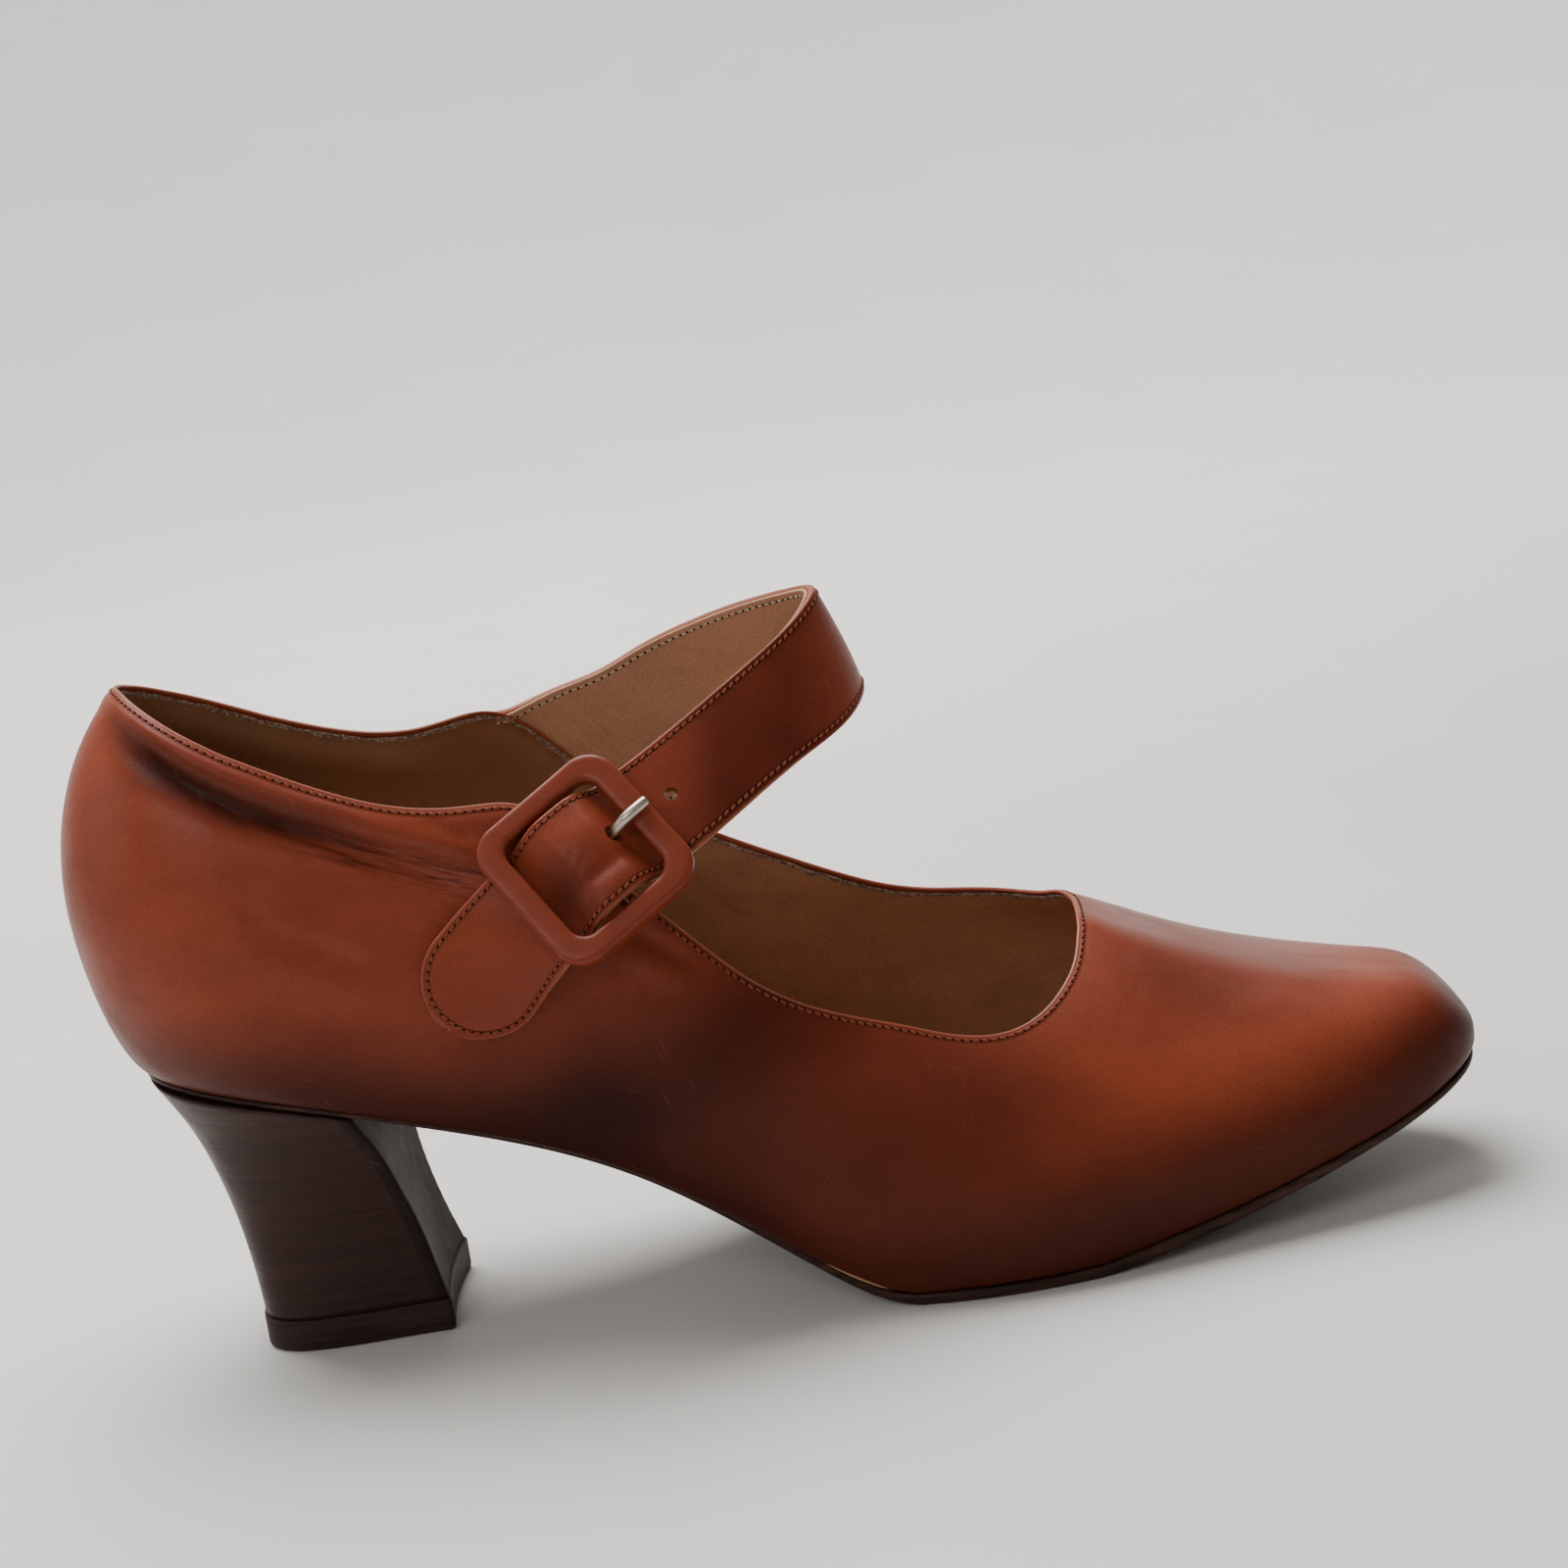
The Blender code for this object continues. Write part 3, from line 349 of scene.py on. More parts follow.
def upper_surface(columns, rows):
    """Outer face of the upper: a grid of rows from the feather line to the topline, and columns around it."""
    wide, side = closed_outline("wide", UPPER_START, UPPER_END, columns)
    seat, _ = closed_outline("seat", SEAT_START, SEAT_END, columns)
    wide_x, wide_y, wide_z = wide[:, 0], wide[:, 1], last["wide_z"](wide[:, 0])
    full = by_side(side, last["full_lat"](wide_x), last["full_med"](wide_x))
    centre_x = inner_line(wide_x)
    centre_y = last["ridge_y"](centre_x)

    def above(share):
        """Points of every column at a share of the way out from the inner line."""
        x = centre_x + share * (wide_x - centre_x)
        y = centre_y + share * (wide_y - centre_y)
        return x, y, wide_z + (last["ridge_z"](x) - wide_z) * (1 - share**full) ** (1 / full)

    throat_y = last["ridge_y"](LINE_END)
    throat_half = {
        s: abs(float(quarter_y(LINE_END, topline[name](LINE_END), s)) - throat_y)
        for s, name in ((LATERAL, "lat"), (MEDIAL, "med"))
    }

    def is_open(x, y, z):
        to_medial = smooth_step(y - centre_y, -10, 10)
        over_topline = z > topline["lat"](x) + to_medial * (topline["med"](x) - topline["lat"](x))
        forward = np.maximum(x - LINE_END, 0) / THROAT_LENGTH
        sideways = np.abs(y - throat_y) / by_side(y - throat_y, throat_half[LATERAL], throat_half[MEDIAL])
        power = by_side(y - throat_y, THROAT_POWER, MEDIAL_THROAT_POWER)
        return np.where(x < LINE_END, over_topline, forward**power + sideways**power < 1)

    opened, closed = np.zeros(len(wide_x)), np.ones(len(wide_x))
    for _ in range(HALVINGS):
        share = (opened + closed) / 2
        inside = is_open(*above(share))
        opened, closed = np.where(inside, share, opened), np.where(inside, closed, share)
    for _ in range(round(0.35 * (columns / 36) ** 2)):
        closed = (np.roll(closed, 1) + 2 * closed + np.roll(closed, -1)) / 4
    turn = np.linspace(math.pi / 2, 0, LOW_STEPS)[:, None]
    lower, inward = np.sin(turn) ** (2 / FEATHER_POWER), np.cos(turn) ** (2 / FEATHER_POWER)
    seat_z = sole_top(seat[:, 0]) + GAP
    bottom = np.stack(
        [
            seat[:, 0] + (wide_x - seat[:, 0]) * inward,
            seat[:, 1] + (wide_y - seat[:, 1]) * inward,
            wide_z + (seat_z - wide_z) * lower,
        ],
        axis=2,
    )
    angle = np.arccos(closed ** (full / 2)) * np.linspace(0, 1, HIGH_STEPS)[1:, None] ** 1.5
    top = np.stack(above(np.cos(angle) ** (2 / full)), axis=2)
    profile = np.concatenate([bottom, top])
    steps = [even_steps(profile[:, i], rows) for i in range(profile.shape[1])]
    return np.stack(steps, axis=1)


print("upper surface ready")

# %% [markdown]
# ## The strap's path
# The strap is a ribbon through named sections: two lie on the lateral quarter, two pass under the buckle, ten
# cross the instep in the air, and four lie on the medial quarter where it is sewn on. A spline joins them,
# and an inset gives the same ribbon a little narrower, which the rounded edges need.

# %% The middle surface of the strap
def strap_section(x, y, z, rake, lean, width, bulge, across):
    """Points across a free section of the strap; across runs from -1 at the lower edge to 1 at the upper."""
    rake, lean = math.radians(rake), math.radians(lean)
    inward = 1 if y < 0 else -1
    up = np.array([-math.sin(rake), inward * math.sin(lean), math.cos(rake)])
    outward = np.array([math.sin(rake) * 0.3, -inward, 0.2])
    if abs(y) < 20:
        outward = np.array([1.0, y / 20, 0.3])
    outward /= np.linalg.norm(outward)
    points = np.array([x, y, z]) + across[:, None] * up * width / 2
    return points + (1 - across[:, None] ** 2) * outward * bulge


def strap_on_quarter(x, z, rake, width, lean, side, across):
    """Points across a section that lies on a quarter, and leans on above the topline."""
    rake = math.radians(rake)
    over_x = x - math.sin(rake) * across * width / 2
    over_z = z + math.cos(rake) * across * width / 2
    held = np.minimum(over_z, by_side(side, topline["lat"](over_x), topline["med"](over_x)))
    y = quarter_y(over_x, held, side) + side * (STRAP_THICK / 2 + GAP + QUARTER_LIFT)
    return np.stack([over_x, y - side * (over_z - held) * math.tan(math.radians(lean)), over_z], axis=1)


def half_width(sections):
    return np.linalg.norm(sections[:, -1] - sections[:, 0], axis=1) / 2


def through(sections, count):
    """A smooth surface through sections, resampled to count steps along its middle."""
    sections = np.array(sections)
    along = distances(sections[:, sections.shape[1] // 2])
    where = np.linspace(0, along[-1], count + 1)
    flat = sections.reshape(len(sections), -1)
    rows = np.column_stack([along, flat])
    names = ["along"] + [str(i) for i in range(flat.shape[1])]
    smooth = np.stack([spline(names, rows, name)(where) for name in names[1:]], axis=1)
    return smooth.reshape(count + 1, *sections.shape[1:]), where


ACROSS, RIBBON_STEPS = 30, 1200
across_shares = np.linspace(-1, 1, ACROSS + 1)
strap_rows = [strap_on_quarter(*row, LATERAL, across_shares) for row in STRAP_TIP_ROWS]
strap_rows += [strap_section(*row, across_shares) for row in (UNDER_BAR_ROW, BUCKLE_ROW)]
strap_rows += [strap_section(*row, across_shares) for row in STRAP_FREE]
strap_rows += [strap_on_quarter(*row, MEDIAL, across_shares) for row in STRAP_BASE_ROWS]
ribbon, ribbon_at = through(strap_rows, RIBBON_STEPS)
ribbon_middle = ribbon[:, ACROSS // 2]
STRAP_TOTAL = ribbon_at[-1]
BUCKLE_AT = ribbon_at[np.argmin(np.linalg.norm(ribbon_middle - np.array(BUCKLE_ROW[:3]), axis=1))]


def buckle_frame():
    """The middle of the buckle on the strap, and its directions along, across and out of it."""
    at = np.argmin(abs(ribbon_at - BUCKLE_AT))
    reach = int(RIBBON_STEPS * 10 / STRAP_TOTAL)
    along = ribbon_middle[at + reach] - ribbon_middle[at - reach]
    up = ribbon[at, -1] - ribbon[at, 0]
    along /= np.linalg.norm(along)
    up -= along * (up @ along)
    up /= np.linalg.norm(up)
    outward = np.cross(along, up)
    if outward[1] > 0:
        outward = -outward
    return ribbon[at].mean(axis=0) - outward * STRAP_THICK / 2, along, up, outward


BUCKLE_FRAME = buckle_frame()


def strap_places(count):
    """Distances from the tip, closer together at the tip and near the buckle."""
    pace = np.linspace(0, STRAP_TOTAL, 3000)
    step = 1 + 1.2 * np.exp(-(((pace - BUCKLE_AT) / 14) ** 4))
    step += 5 * hill(pace / 2.5) + 2 * hill((STRAP_TOTAL - pace) / 2)
    travel = np.concatenate([[0], np.cumsum(np.diff(pace) * (step[1:] + step[:-1]) / 2)])
    return np.interp(np.linspace(0, travel[-1], count + 1), travel, pace)


def strap_grid(places, inset=0.0):
    """The ribbon at distances from the tip, its outline drawn in by inset all round."""
    places = inset + places * (1 - 2 * inset / STRAP_TOTAL)
    lines = [[np.interp(places, ribbon_at, ribbon[:, j, i]) for i in range(3)] for j in range(ACROSS + 1)]
    grid = np.array(lines).transpose(2, 0, 1)
    centre = grid.mean(axis=1, keepdims=True)
    half = half_width(grid)
    tip = np.clip(STRAP_TIP_RADIUS - places, 0, None) / (STRAP_TIP_RADIUS - inset)
    keep = np.sqrt(np.clip(1 - tip**2, 4e-4, 1)) * (half - inset) / half
    grid = centre + (grid - centre) * keep[:, None, None]
    rise = STRAP_RISE * smooth_step(places - BUCKLE_AT, RISE_START, RISE_FULL)
    rise *= smooth_step(BUCKLE_AT - places, -FALL_END, -FALL_START)
    return grid + rise[:, None, None] * BUCKLE_FRAME[3]


print("strap", round(STRAP_TOTAL, 1), "mm long, buckle at", round(BUCKLE_AT, 1), "mm from its tip")

# %% [markdown]
# ## Helpers that make pieces
# A grid of points is the natural mesh for leather: its rows and columns follow the last. Each piece is made
# once here, gets its marks (numbers carried by every point, which the finishes read), and then rides on the
# shoe and stands in for its plain solid.

# %% Piece helpers
def world(points):
    return (np.asarray(points, float) - np.array([MIDDLE_X, MIDDLE_Y, 0])) * MM


def length_of(vectors):
    return np.linalg.norm(vectors, axis=-1, keepdims=True)


def unit(vectors):
    return vectors / np.maximum(length_of(vectors), 1e-9)


def outward_normals(grid, wrap=False):
    """Unit normals of a grid: its second direction crossed with its first."""
    first = np.gradient(grid, axis=0)
    second = (np.roll(grid, -1, axis=1) - np.roll(grid, 1, axis=1)) / 2 if wrap else np.gradient(grid, axis=1)
    return unit(np.cross(second, first))


def grid_faces(rows, columns, wrap_rows=False, wrap_columns=False):
    i = np.arange(rows if wrap_rows else rows - 1)[:, None]
    j = np.arange(columns if wrap_columns else columns - 1)[None, :]
    a, b = i * columns, (i + 1) % rows * columns
    k = (j + 1) % columns
    return np.stack([a + j, b + j, b + k, a + k], axis=2).reshape(-1, 4).tolist()


def tube_faces(rings, sides):
    """Faces of a tube of rings, closed flat at both ends."""
    count = rings * sides
    ends = [list(range(sides)), list(range(count - 1, count - 1 - sides, -1))]
    return grid_faces(rings, sides, wrap_columns=True) + ends


def two_grids(rows, columns):
    """Faces of two grids back to back."""
    faces = grid_faces(rows, columns)
    return faces + [[rows * columns + k for k in face[::-1]] for face in faces]


def band_faces(bands):
    """Faces between closed bands of point numbers, each joined to the next."""
    pairs = zip(bands, bands[1:])
    faces = [np.stack([np.roll(a, -1), a, b, np.roll(b, -1)], axis=1) for a, b in pairs]
    return np.concatenate(faces).tolist()


def border(grid):
    """The outline of a grid of points, once round."""
    return np.concatenate([grid[:, 0], grid[-1, 1:], grid[-2::-1, -1], grid[0, -2:0:-1]])


def add_object(name, data):
    made = bpy.data.objects.new(name, data)
    bpy.context.scene.collection.objects.link(made)
    return made


def make_piece(name, points, faces, finish, stands_for=(), marks=None, sharp=35):
    mesh = bpy.data.meshes.new(name)
    mesh.from_pydata(world(points).tolist(), [], faces)
    for key, values in (marks or {}).items():
        layer = mesh.attributes.new(key, "FLOAT", "POINT")
        layer.data.foreach_set("value", np.asarray(values, float).ravel())
    mesh.shade_smooth()
    if sharp:
        mesh.set_sharp_from_angle(angle=math.radians(sharp))
    mesh.materials.append(finish)
    made = add_object(name, mesh)
    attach(made, "root")
    if stands_for:
        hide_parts(*stands_for)
    return made


def uneven(points, size, seed):
    """Smooth natural unevenness between -1 and 1 at points in millimetres."""
    flat = np.asarray(points, float).reshape(-1, 3) / size
    shift = Vector((seed * 7.3, seed * 3.1, seed * 5.7))
    values = [noise.noise(Vector(p) + shift) for p in flat]
    return np.array(values).reshape(np.asarray(points).shape[:-1])


print("helpers ready")

# %% [markdown]
# ## Finishes: small shader groups
# The same effects return on several leathers, so each is a shader group with its own inputs: a grain of tiny
# cells, slow patches of darker polish, fine scratches, and the wrinkles beside a fold. A group gives only
# numbers back, and each material decides what they change.

# %% Shader group tools
class Group:
    """A shader group under construction: named inputs and outputs, and short calls for its nodes."""

    def __init__(self, name, inputs, outputs):
        self.tree = bpy.data.node_groups.new(name, "ShaderNodeTree")
        for label, kind, value in inputs:
            socket = self.tree.interface.new_socket(label, in_out="INPUT", socket_type="NodeSocket" + kind)
            if kind != "Vector":
                socket.default_value = value
        for label, kind in outputs:
            self.tree.interface.new_socket(label, in_out="OUTPUT", socket_type="NodeSocket" + kind)
        self.inside = self.tree.nodes.new("NodeGroupInput").outputs
        self.result = self.tree.nodes.new("NodeGroupOutput").inputs

    def node(self, kind, settings=None, **inputs):
        return add_node(self.tree, kind, settings, **inputs)

    def math(self, operation, a, b=None):
        return add_math(self.tree, operation, a, b)

    def ramp(self, value, *ends):
        return add_range(self.tree, value, *ends)

    def give(self, **results):
        for label, value in results.items():
            self.tree.links.new(value, self.result[label])


def plug(tree, socket, value):
    if isinstance(value, bpy.types.NodeSocket):
        tree.links.new(value, socket)
    elif value is not None:
        socket.default_value = value


def add_node(tree, kind, settings=None, **inputs):
    made = tree.nodes.new("ShaderNode" + kind)
    for key, value in (settings or {}).items():
        setattr(made, key, value)
    for key, value in inputs.items():
        plug(tree, made.inputs[key.replace("_", " ")], value)
    return made


def add_math(tree, operation, a, b=None, c=None, clamp=False):
    made = tree.nodes.new("ShaderNodeMath")
    made.operation = operation
    made.use_clamp = clamp
    for socket, value in zip(made.inputs, (a, b, c)):
        plug(tree, socket, value)
    return made.outputs[0]


def add_range(tree, value, low, high, to_low=0.0, to_high=1.0):
    """A smooth ramp of a value from one range to another."""
    made = add_node(tree, "MapRange", {"interpolation_type": "SMOOTHSTEP"}, Value=value)
    for key, number in (("From Min", low), ("From Max", high), ("To Min", to_low), ("To Max", to_high)):
        made.inputs[key].default_value = number
    return made.outputs["Result"]


def add_mix(tree, factor, a, b):
    made = add_node(tree, "Mix", {"data_type": "RGBA"})
    for index, value in ((0, factor), (6, a), (7, b)):
        plug(tree, made.inputs[index], value)
    return made.outputs[2]


def tint(tree, colour, mask, share, towards):
    """A colour moved towards another by a share of a mask."""
    return add_mix(tree, add_math(tree, "MULTIPLY", mask, share), colour, towards)


def raised(tree, base, mask, share, clamp=False):
    """A number raised by a share of a mask."""
    return add_math(tree, "MULTIPLY_ADD", mask, share, base, clamp)


def darker(colour, share):
    return (*(share * c for c in colour[:3]), 1)


def mark(tree, name):
    return add_node(tree, "Attribute", {"attribute_name": name}).outputs["Fac"]


print("shader tools ready")

# %% Grain, polish and scratches
grain = Group(
    "leather_grain",
    [("Place", "Vector", None), ("Cells", "Float", 1500.0), ("Wear", "Float", 0.5)],
    [("Height", "Float"), ("Pores", "Float")],
)
spot, cells = grain.inside["Place"], grain.inside["Cells"]
borders = grain.node("TexVoronoi", {"feature": "DISTANCE_TO_EDGE"}, Vector=spot, Scale=cells)
fine = grain.node("TexNoise", Vector=spot, Scale=cells, Detail=3.0)
valley = grain.ramp(borders.outputs["Distance"], 0.0, 0.16)
worn = grain.math("MULTIPLY", valley, grain.inside["Wear"])
grain.give(Height=grain.math("ADD", worn, grain.math("MULTIPLY", fine.outputs["Fac"], 0.8)),
           Pores=grain.math("SUBTRACT", 1.0, valley))

polish = Group("hand_polish", [("Place", "Vector", None), ("Patch", "Float", 18.0)],
               [("Cloud", "Float"), ("Streak", "Float")])
spot, patch = polish.inside["Place"], polish.inside["Patch"]
slow = polish.node("TexNoise", Vector=spot, Scale=patch, Detail=4.0, Roughness=0.55)
stretched = polish.node("Mapping", Vector=spot)
stretched.inputs["Scale"].default_value = (0.3, 1.0, 0.8)
finer = polish.math("MULTIPLY", patch, 9.0)
strokes = polish.node("TexNoise", Vector=stretched.outputs["Vector"], Scale=finer, Detail=5.0, Roughness=0.7)
cloud = polish.ramp(slow.outputs["Fac"], 0.3, 0.7)
polish.give(Cloud=cloud, Streak=polish.ramp(strokes.outputs["Fac"], 0.35, 0.7))

scratches = Group(
    "scratches",
    [("Place", "Vector", None), ("Turn", "Float", 0.4), ("Amount", "Float", 0.5)],
    [("Mask", "Float")],
)
spot, turning = scratches.inside["Place"], scratches.inside["Turn"]
turned = scratches.node("VectorRotate", {"rotation_type": "Y_AXIS"}, Vector=spot, Angle=turning)
long_way = scratches.node("Mapping", Vector=turned.outputs["Vector"])
long_way.inputs["Scale"].default_value = (900.0, 240.0, 42.0)
drawn_out = long_way.outputs["Vector"]
lines = scratches.node("TexVoronoi", {"feature": "F1"}, Vector=drawn_out, Scale=1.0, Randomness=1.0)
where = scratches.node("TexNoise", Vector=spot, Scale=55.0, Detail=2.0)
thin = scratches.ramp(lines.outputs["Distance"], 0.05, 0.16, 1.0, 0.0)
few = scratches.math("MULTIPLY", thin, scratches.ramp(where.outputs["Fac"], 0.52, 0.66))
scratches.give(Mask=scratches.math("MULTIPLY", few, scratches.inside["Amount"]))

# Masks of fine wrinkles; the calf paints shade into their valleys and a highlight onto their ridges.
wrinkles = Group(
    "wrinkles",
    [("Run", "Float", 0.0), ("Off", "Float", 9.0)],
    [("Height", "Float"), ("Valley", "Float"), ("Ridge", "Float")],
)
run, off = wrinkles.inside["Run"], wrinkles.inside["Off"]
along_fold, across_fold = wrinkles.math("MULTIPLY", run, 7.0), wrinkles.math("MULTIPLY", off, 1.15)
spread_out = wrinkles.node("CombineXYZ", X=along_fold, Y=across_fold).outputs["Vector"]
lines = wrinkles.node("TexNoise", Vector=spread_out, Scale=1.0, Detail=3.0, Roughness=0.6, Distortion=0.3)
from_fold = wrinkles.math("ABSOLUTE", wrinkles.math("ADD", off, 1.6))
here = wrinkles.math("MULTIPLY", wrinkles.ramp(from_fold, 1.2, 4.6, 1.0, 0.0), wrinkles.ramp(run, 0.42, 0.72))
level = wrinkles.math("SUBTRACT", lines.outputs["Fac"], 0.5)
wrinkles.give(Height=wrinkles.math("MULTIPLY", level, here),
              Valley=wrinkles.math("MULTIPLY", wrinkles.ramp(level, -0.12, -0.02, 1.0, 0.0), here),
              Ridge=wrinkles.math("MULTIPLY", wrinkles.ramp(level, 0.05, 0.14), here))
print("groups:", ", ".join(group.name for group in bpy.data.node_groups))

# %% [markdown]
# ## The leathers
# The shoe's calf is a chestnut brown under a soft polish: lighter where it was rubbed, darker towards the
# sole and in some spots, and a little redder on the cut edges. It carries painted shade in the long fold and
# in the valleys of its wrinkles, and a painted highlight on their ridges. The lining is undyed tan leather,
# dull and dry. They read the marks: how far a point is from an edge, how dark the colour is painted, where it
# is rubbed glossy, and where it lies beside the long fold.

# %% Material frame
def new_material(name):
    made = bpy.data.materials.new(name)
    made.use_nodes = True
    tree = made.node_tree
    shader = tree.nodes["Principled BSDF"]
    place = add_node(tree, "TexCoord").outputs["Object"]
    return made, tree, shader, place


def use(tree, group, **inputs):
    made = tree.nodes.new("ShaderNodeGroup")
    made.node_tree = group.tree
    for key, value in inputs.items():
        plug(tree, made.inputs[key.replace("_", " ")], value)
    return made.outputs


def bump(tree, height, depth, normal=None, strength=1.0):
    made = add_node(tree, "Bump", Strength=strength, Distance=depth, Height=height)
    plug(tree, made.inputs["Normal"], normal)
    return made.outputs["Normal"]


def set_inputs(tree, shader, **inputs):
    """Plug values into the shader's inputs, whose names are written with underscores."""
    for key, value in inputs.items():
        plug(tree, shader.inputs[key.replace("_", " ")], value)


CALF = (0.2, 0.0345, 0.0145, 1)
CALF_DARK = (0.021, 0.0034, 0.0018, 1)
CALF_LIGHT = (0.275, 0.054, 0.024, 1)
# Red of the dyed cut edges and of scratches; also the painted highlight on wrinkle ridges.
EDGE_DYE_AND_RIDGE_HIGHLIGHT = (0.31, 0.09, 0.05, 1)
TAN = (0.235, 0.105, 0.048, 1)
TAN_LIGHT = (0.5, 0.26, 0.145, 1)
TAN_DARK = (0.1, 0.038, 0.017, 1)
TAN_FRONT = (0.43, 0.22, 0.125, 1)
FIBRE_DARK = (0.17, 0.09, 0.055, 1)
RAW_FIBRE = (0.5, 0.36, 0.27, 1)
# A distance mark, in millimetres, for leather that is nowhere near an edge or the fold.
FAR_OFF = 40.0


def calf(name, seam_inset, rough=0.36, cut_edge=0.65, wrinkled=False):
    """Chestnut calf, drawn in a little along a seam that runs seam_inset from the edge."""
    made, tree, shader, place = new_material(name)
    hide = use(tree, grain, Place=place, Cells=1500.0, Wear=0.6)
    patches = use(tree, polish, Place=place, Patch=16.0)
    marks_seen = use(tree, scratches, Place=place, Turn=0.35, Amount=0.5)
    crossing = use(tree, scratches, Place=place, Turn=1.1, Amount=0.35)
    lines_seen = add_math(tree, "ADD", marks_seen["Mask"], crossing["Mask"], clamp=True)
    edge, shade_and_darkening_mark = mark(tree, "edge"), mark(tree, "shade_and_darkening")
    from_seam = add_math(tree, "ABSOLUTE", add_math(tree, "SUBTRACT", edge, seam_inset))
    channel = add_range(tree, from_seam, 0.1, 0.7, 1.0, 0.0)
    colour = add_mix(tree, patches["Cloud"], CALF, CALF_LIGHT)
    colour = tint(tree, colour, patches["Streak"], 0.14, CALF_DARK)
    # The mark paints shade in folds and hollows and darkens other places; the polish breaks it up.
    uneven_shade_and_darkening = raised(tree, shade_and_darkening_mark, patches["Cloud"], -0.12, clamp=True)
    colour = add_mix(tree, uneven_shade_and_darkening, colour, CALF_DARK)
    colour = tint(tree, colour, hide["Pores"], 0.16, CALF_DARK)
    colour = tint(tree, colour, lines_seen, 0.5, EDGE_DYE_AND_RIDGE_HIGHLIGHT)
    colour = add_mix(tree, add_range(tree, edge, 0.02, 0.4, cut_edge, 0.0), colour, EDGE_DYE_AND_RIDGE_HIGHLIGHT)
    colour = tint(tree, colour, channel, 0.2, CALF_DARK)
    normal = bump(tree, hide["Height"], 0.00006, strength=0.5)
    normal = bump(tree, patches["Cloud"], 0.0006, normal, 0.25)
    sunk = raised(tree, add_math(tree, "MULTIPLY", channel, 0.4), lines_seen, 0.08)
    normal = bump(tree, add_math(tree, "MULTIPLY", sunk, -1.0), 0.0003, normal)
    if wrinkled:
        folds = use(tree, wrinkles, Run=mark(tree, "run"), Off=mark(tree, "fold"))
        # Painted shade in the wrinkles' valleys and a painted highlight on their ridges.
        colour = tint(tree, colour, folds["Valley"], 0.5, CALF_DARK)
        colour = tint(tree, colour, folds["Ridge"], 0.4, EDGE_DYE_AND_RIDGE_HIGHLIGHT)
        normal = bump(tree, folds["Height"], 0.0006, normal)
    dull = raised(tree, rough, patches["Streak"], 0.12)
    dull = raised(tree, dull, lines_seen, 0.15)
    clear = raised(tree, 0.14, shade_and_darkening_mark, -0.12)
    clear = raised(tree, clear, mark(tree, "gloss"), 0.5)
    set_inputs(tree, shader, Base_Color=colour, Roughness=dull, Normal=normal)
    set_inputs(tree, shader, Coat_Weight=clear, Coat_Roughness=0.3, Specular_IOR_Level=0.09)
    return made


def tan_leather(name, light, wrinkled=0.5, frayed=0.0, front=None):
    """Undyed lining, with a band of raw fibres, frayed wide, along its cut edge."""
    made, tree, shader, place = new_material(name)
    hide = use(tree, grain, Place=place, Cells=1100.0, Wear=0.4)
    patches = use(tree, polish, Place=place, Patch=22.0)
    folds = add_node(tree, "TexNoise", Vector=place, Scale=90.0, Detail=3.0, Distortion=1.6)
    fibres = add_node(tree, "TexNoise", Vector=place, Scale=1500.0, Detail=4.0, Roughness=0.8)
    ragged = add_node(tree, "TexNoise", Vector=place, Scale=330.0, Detail=4.0, Roughness=0.7)
    if front:
        light = add_mix(tree, mark(tree, "front"), light, front)
    colour = add_mix(tree, add_range(tree, patches["Cloud"], 0.0, 1.0, 0.0, 0.2), light, TAN_DARK)
    colour = tint(tree, colour, patches["Streak"], 0.12, TAN_DARK)
    colour = tint(tree, colour, hide["Pores"], 0.2, TAN_DARK)
    reach = raised(tree, mark(tree, "edge"), ragged.outputs["Fac"], -3.4)
    raw = add_range(tree, reach, frayed - 1.9, frayed - 1.5, 1.0, 0.0)
    fibre_colour = add_mix(tree, add_range(tree, fibres.outputs["Fac"], 0.42, 0.62), FIBRE_DARK, RAW_FIBRE)
    colour = add_mix(tree, raw, colour, fibre_colour)
    dull = add_range(tree, patches["Cloud"], 0.0, 1.0, 0.56, 0.68)
    dull = raised(tree, dull, raw, 0.25)
    normal = bump(tree, folds.outputs["Fac"], 0.0008, strength=wrinkled)
    normal = bump(tree, hide["Height"], 0.00005, normal, 0.5)
    normal = bump(tree, add_math(tree, "MULTIPLY", raw, fibres.outputs["Fac"]), 0.0005, normal)
    set_inputs(tree, shader, Base_Color=colour, Roughness=dull, Specular_IOR_Level=0.3, Normal=normal)
    return made


UPPER_INSET, UPPER_PITCH = 1.15, 1.6
STRAP_INSET, STRAP_PITCH = 1.2, 1.6
upper_calf = calf("upper_calf", UPPER_INSET, wrinkled=True)
strap_calf = calf("strap_calf", STRAP_INSET)
tab_calf = calf("tab_calf", FAR_OFF, cut_edge=0.0)
lining_tan = tan_leather("lining_tan", TAN, frayed=1.5, front=TAN_FRONT)
strap_tan = tan_leather("strap_tan", TAN_LIGHT, wrinkled=0.9, frayed=-0.9)
sock_tan = tan_leather("sock_tan", TAN_FRONT, wrinkled=0.25)
print("leathers:", upper_calf.name, strap_calf.name, lining_tan.name, sock_tan.name)

# %% [markdown]
# ## Thread, sole edge, heel, metal
# The thread is waxed and twisted, dark red on the outside and cream on the strap's lining. The heel block is
# faced with dark stacked leather, which shows as fine level lines, and its hollow front has a smoother
# facing. The buckle's cover is smooth and brown, and its prong is bare polished steel with a warm tint.

# %% Thread and hard finishes
STACK_LIGHT = (0.037, 0.0175, 0.0145, 1)
STACK_MIDDLE = (0.03, 0.0135, 0.011, 1)
STACK_DARK = (0.024, 0.0105, 0.009, 1)
FACING_LIGHT = (0.027, 0.015, 0.012, 1)
FACING_DARK = (0.016, 0.0085, 0.007, 1)
FACING_SCUFF = (0.13, 0.1, 0.095, 1)


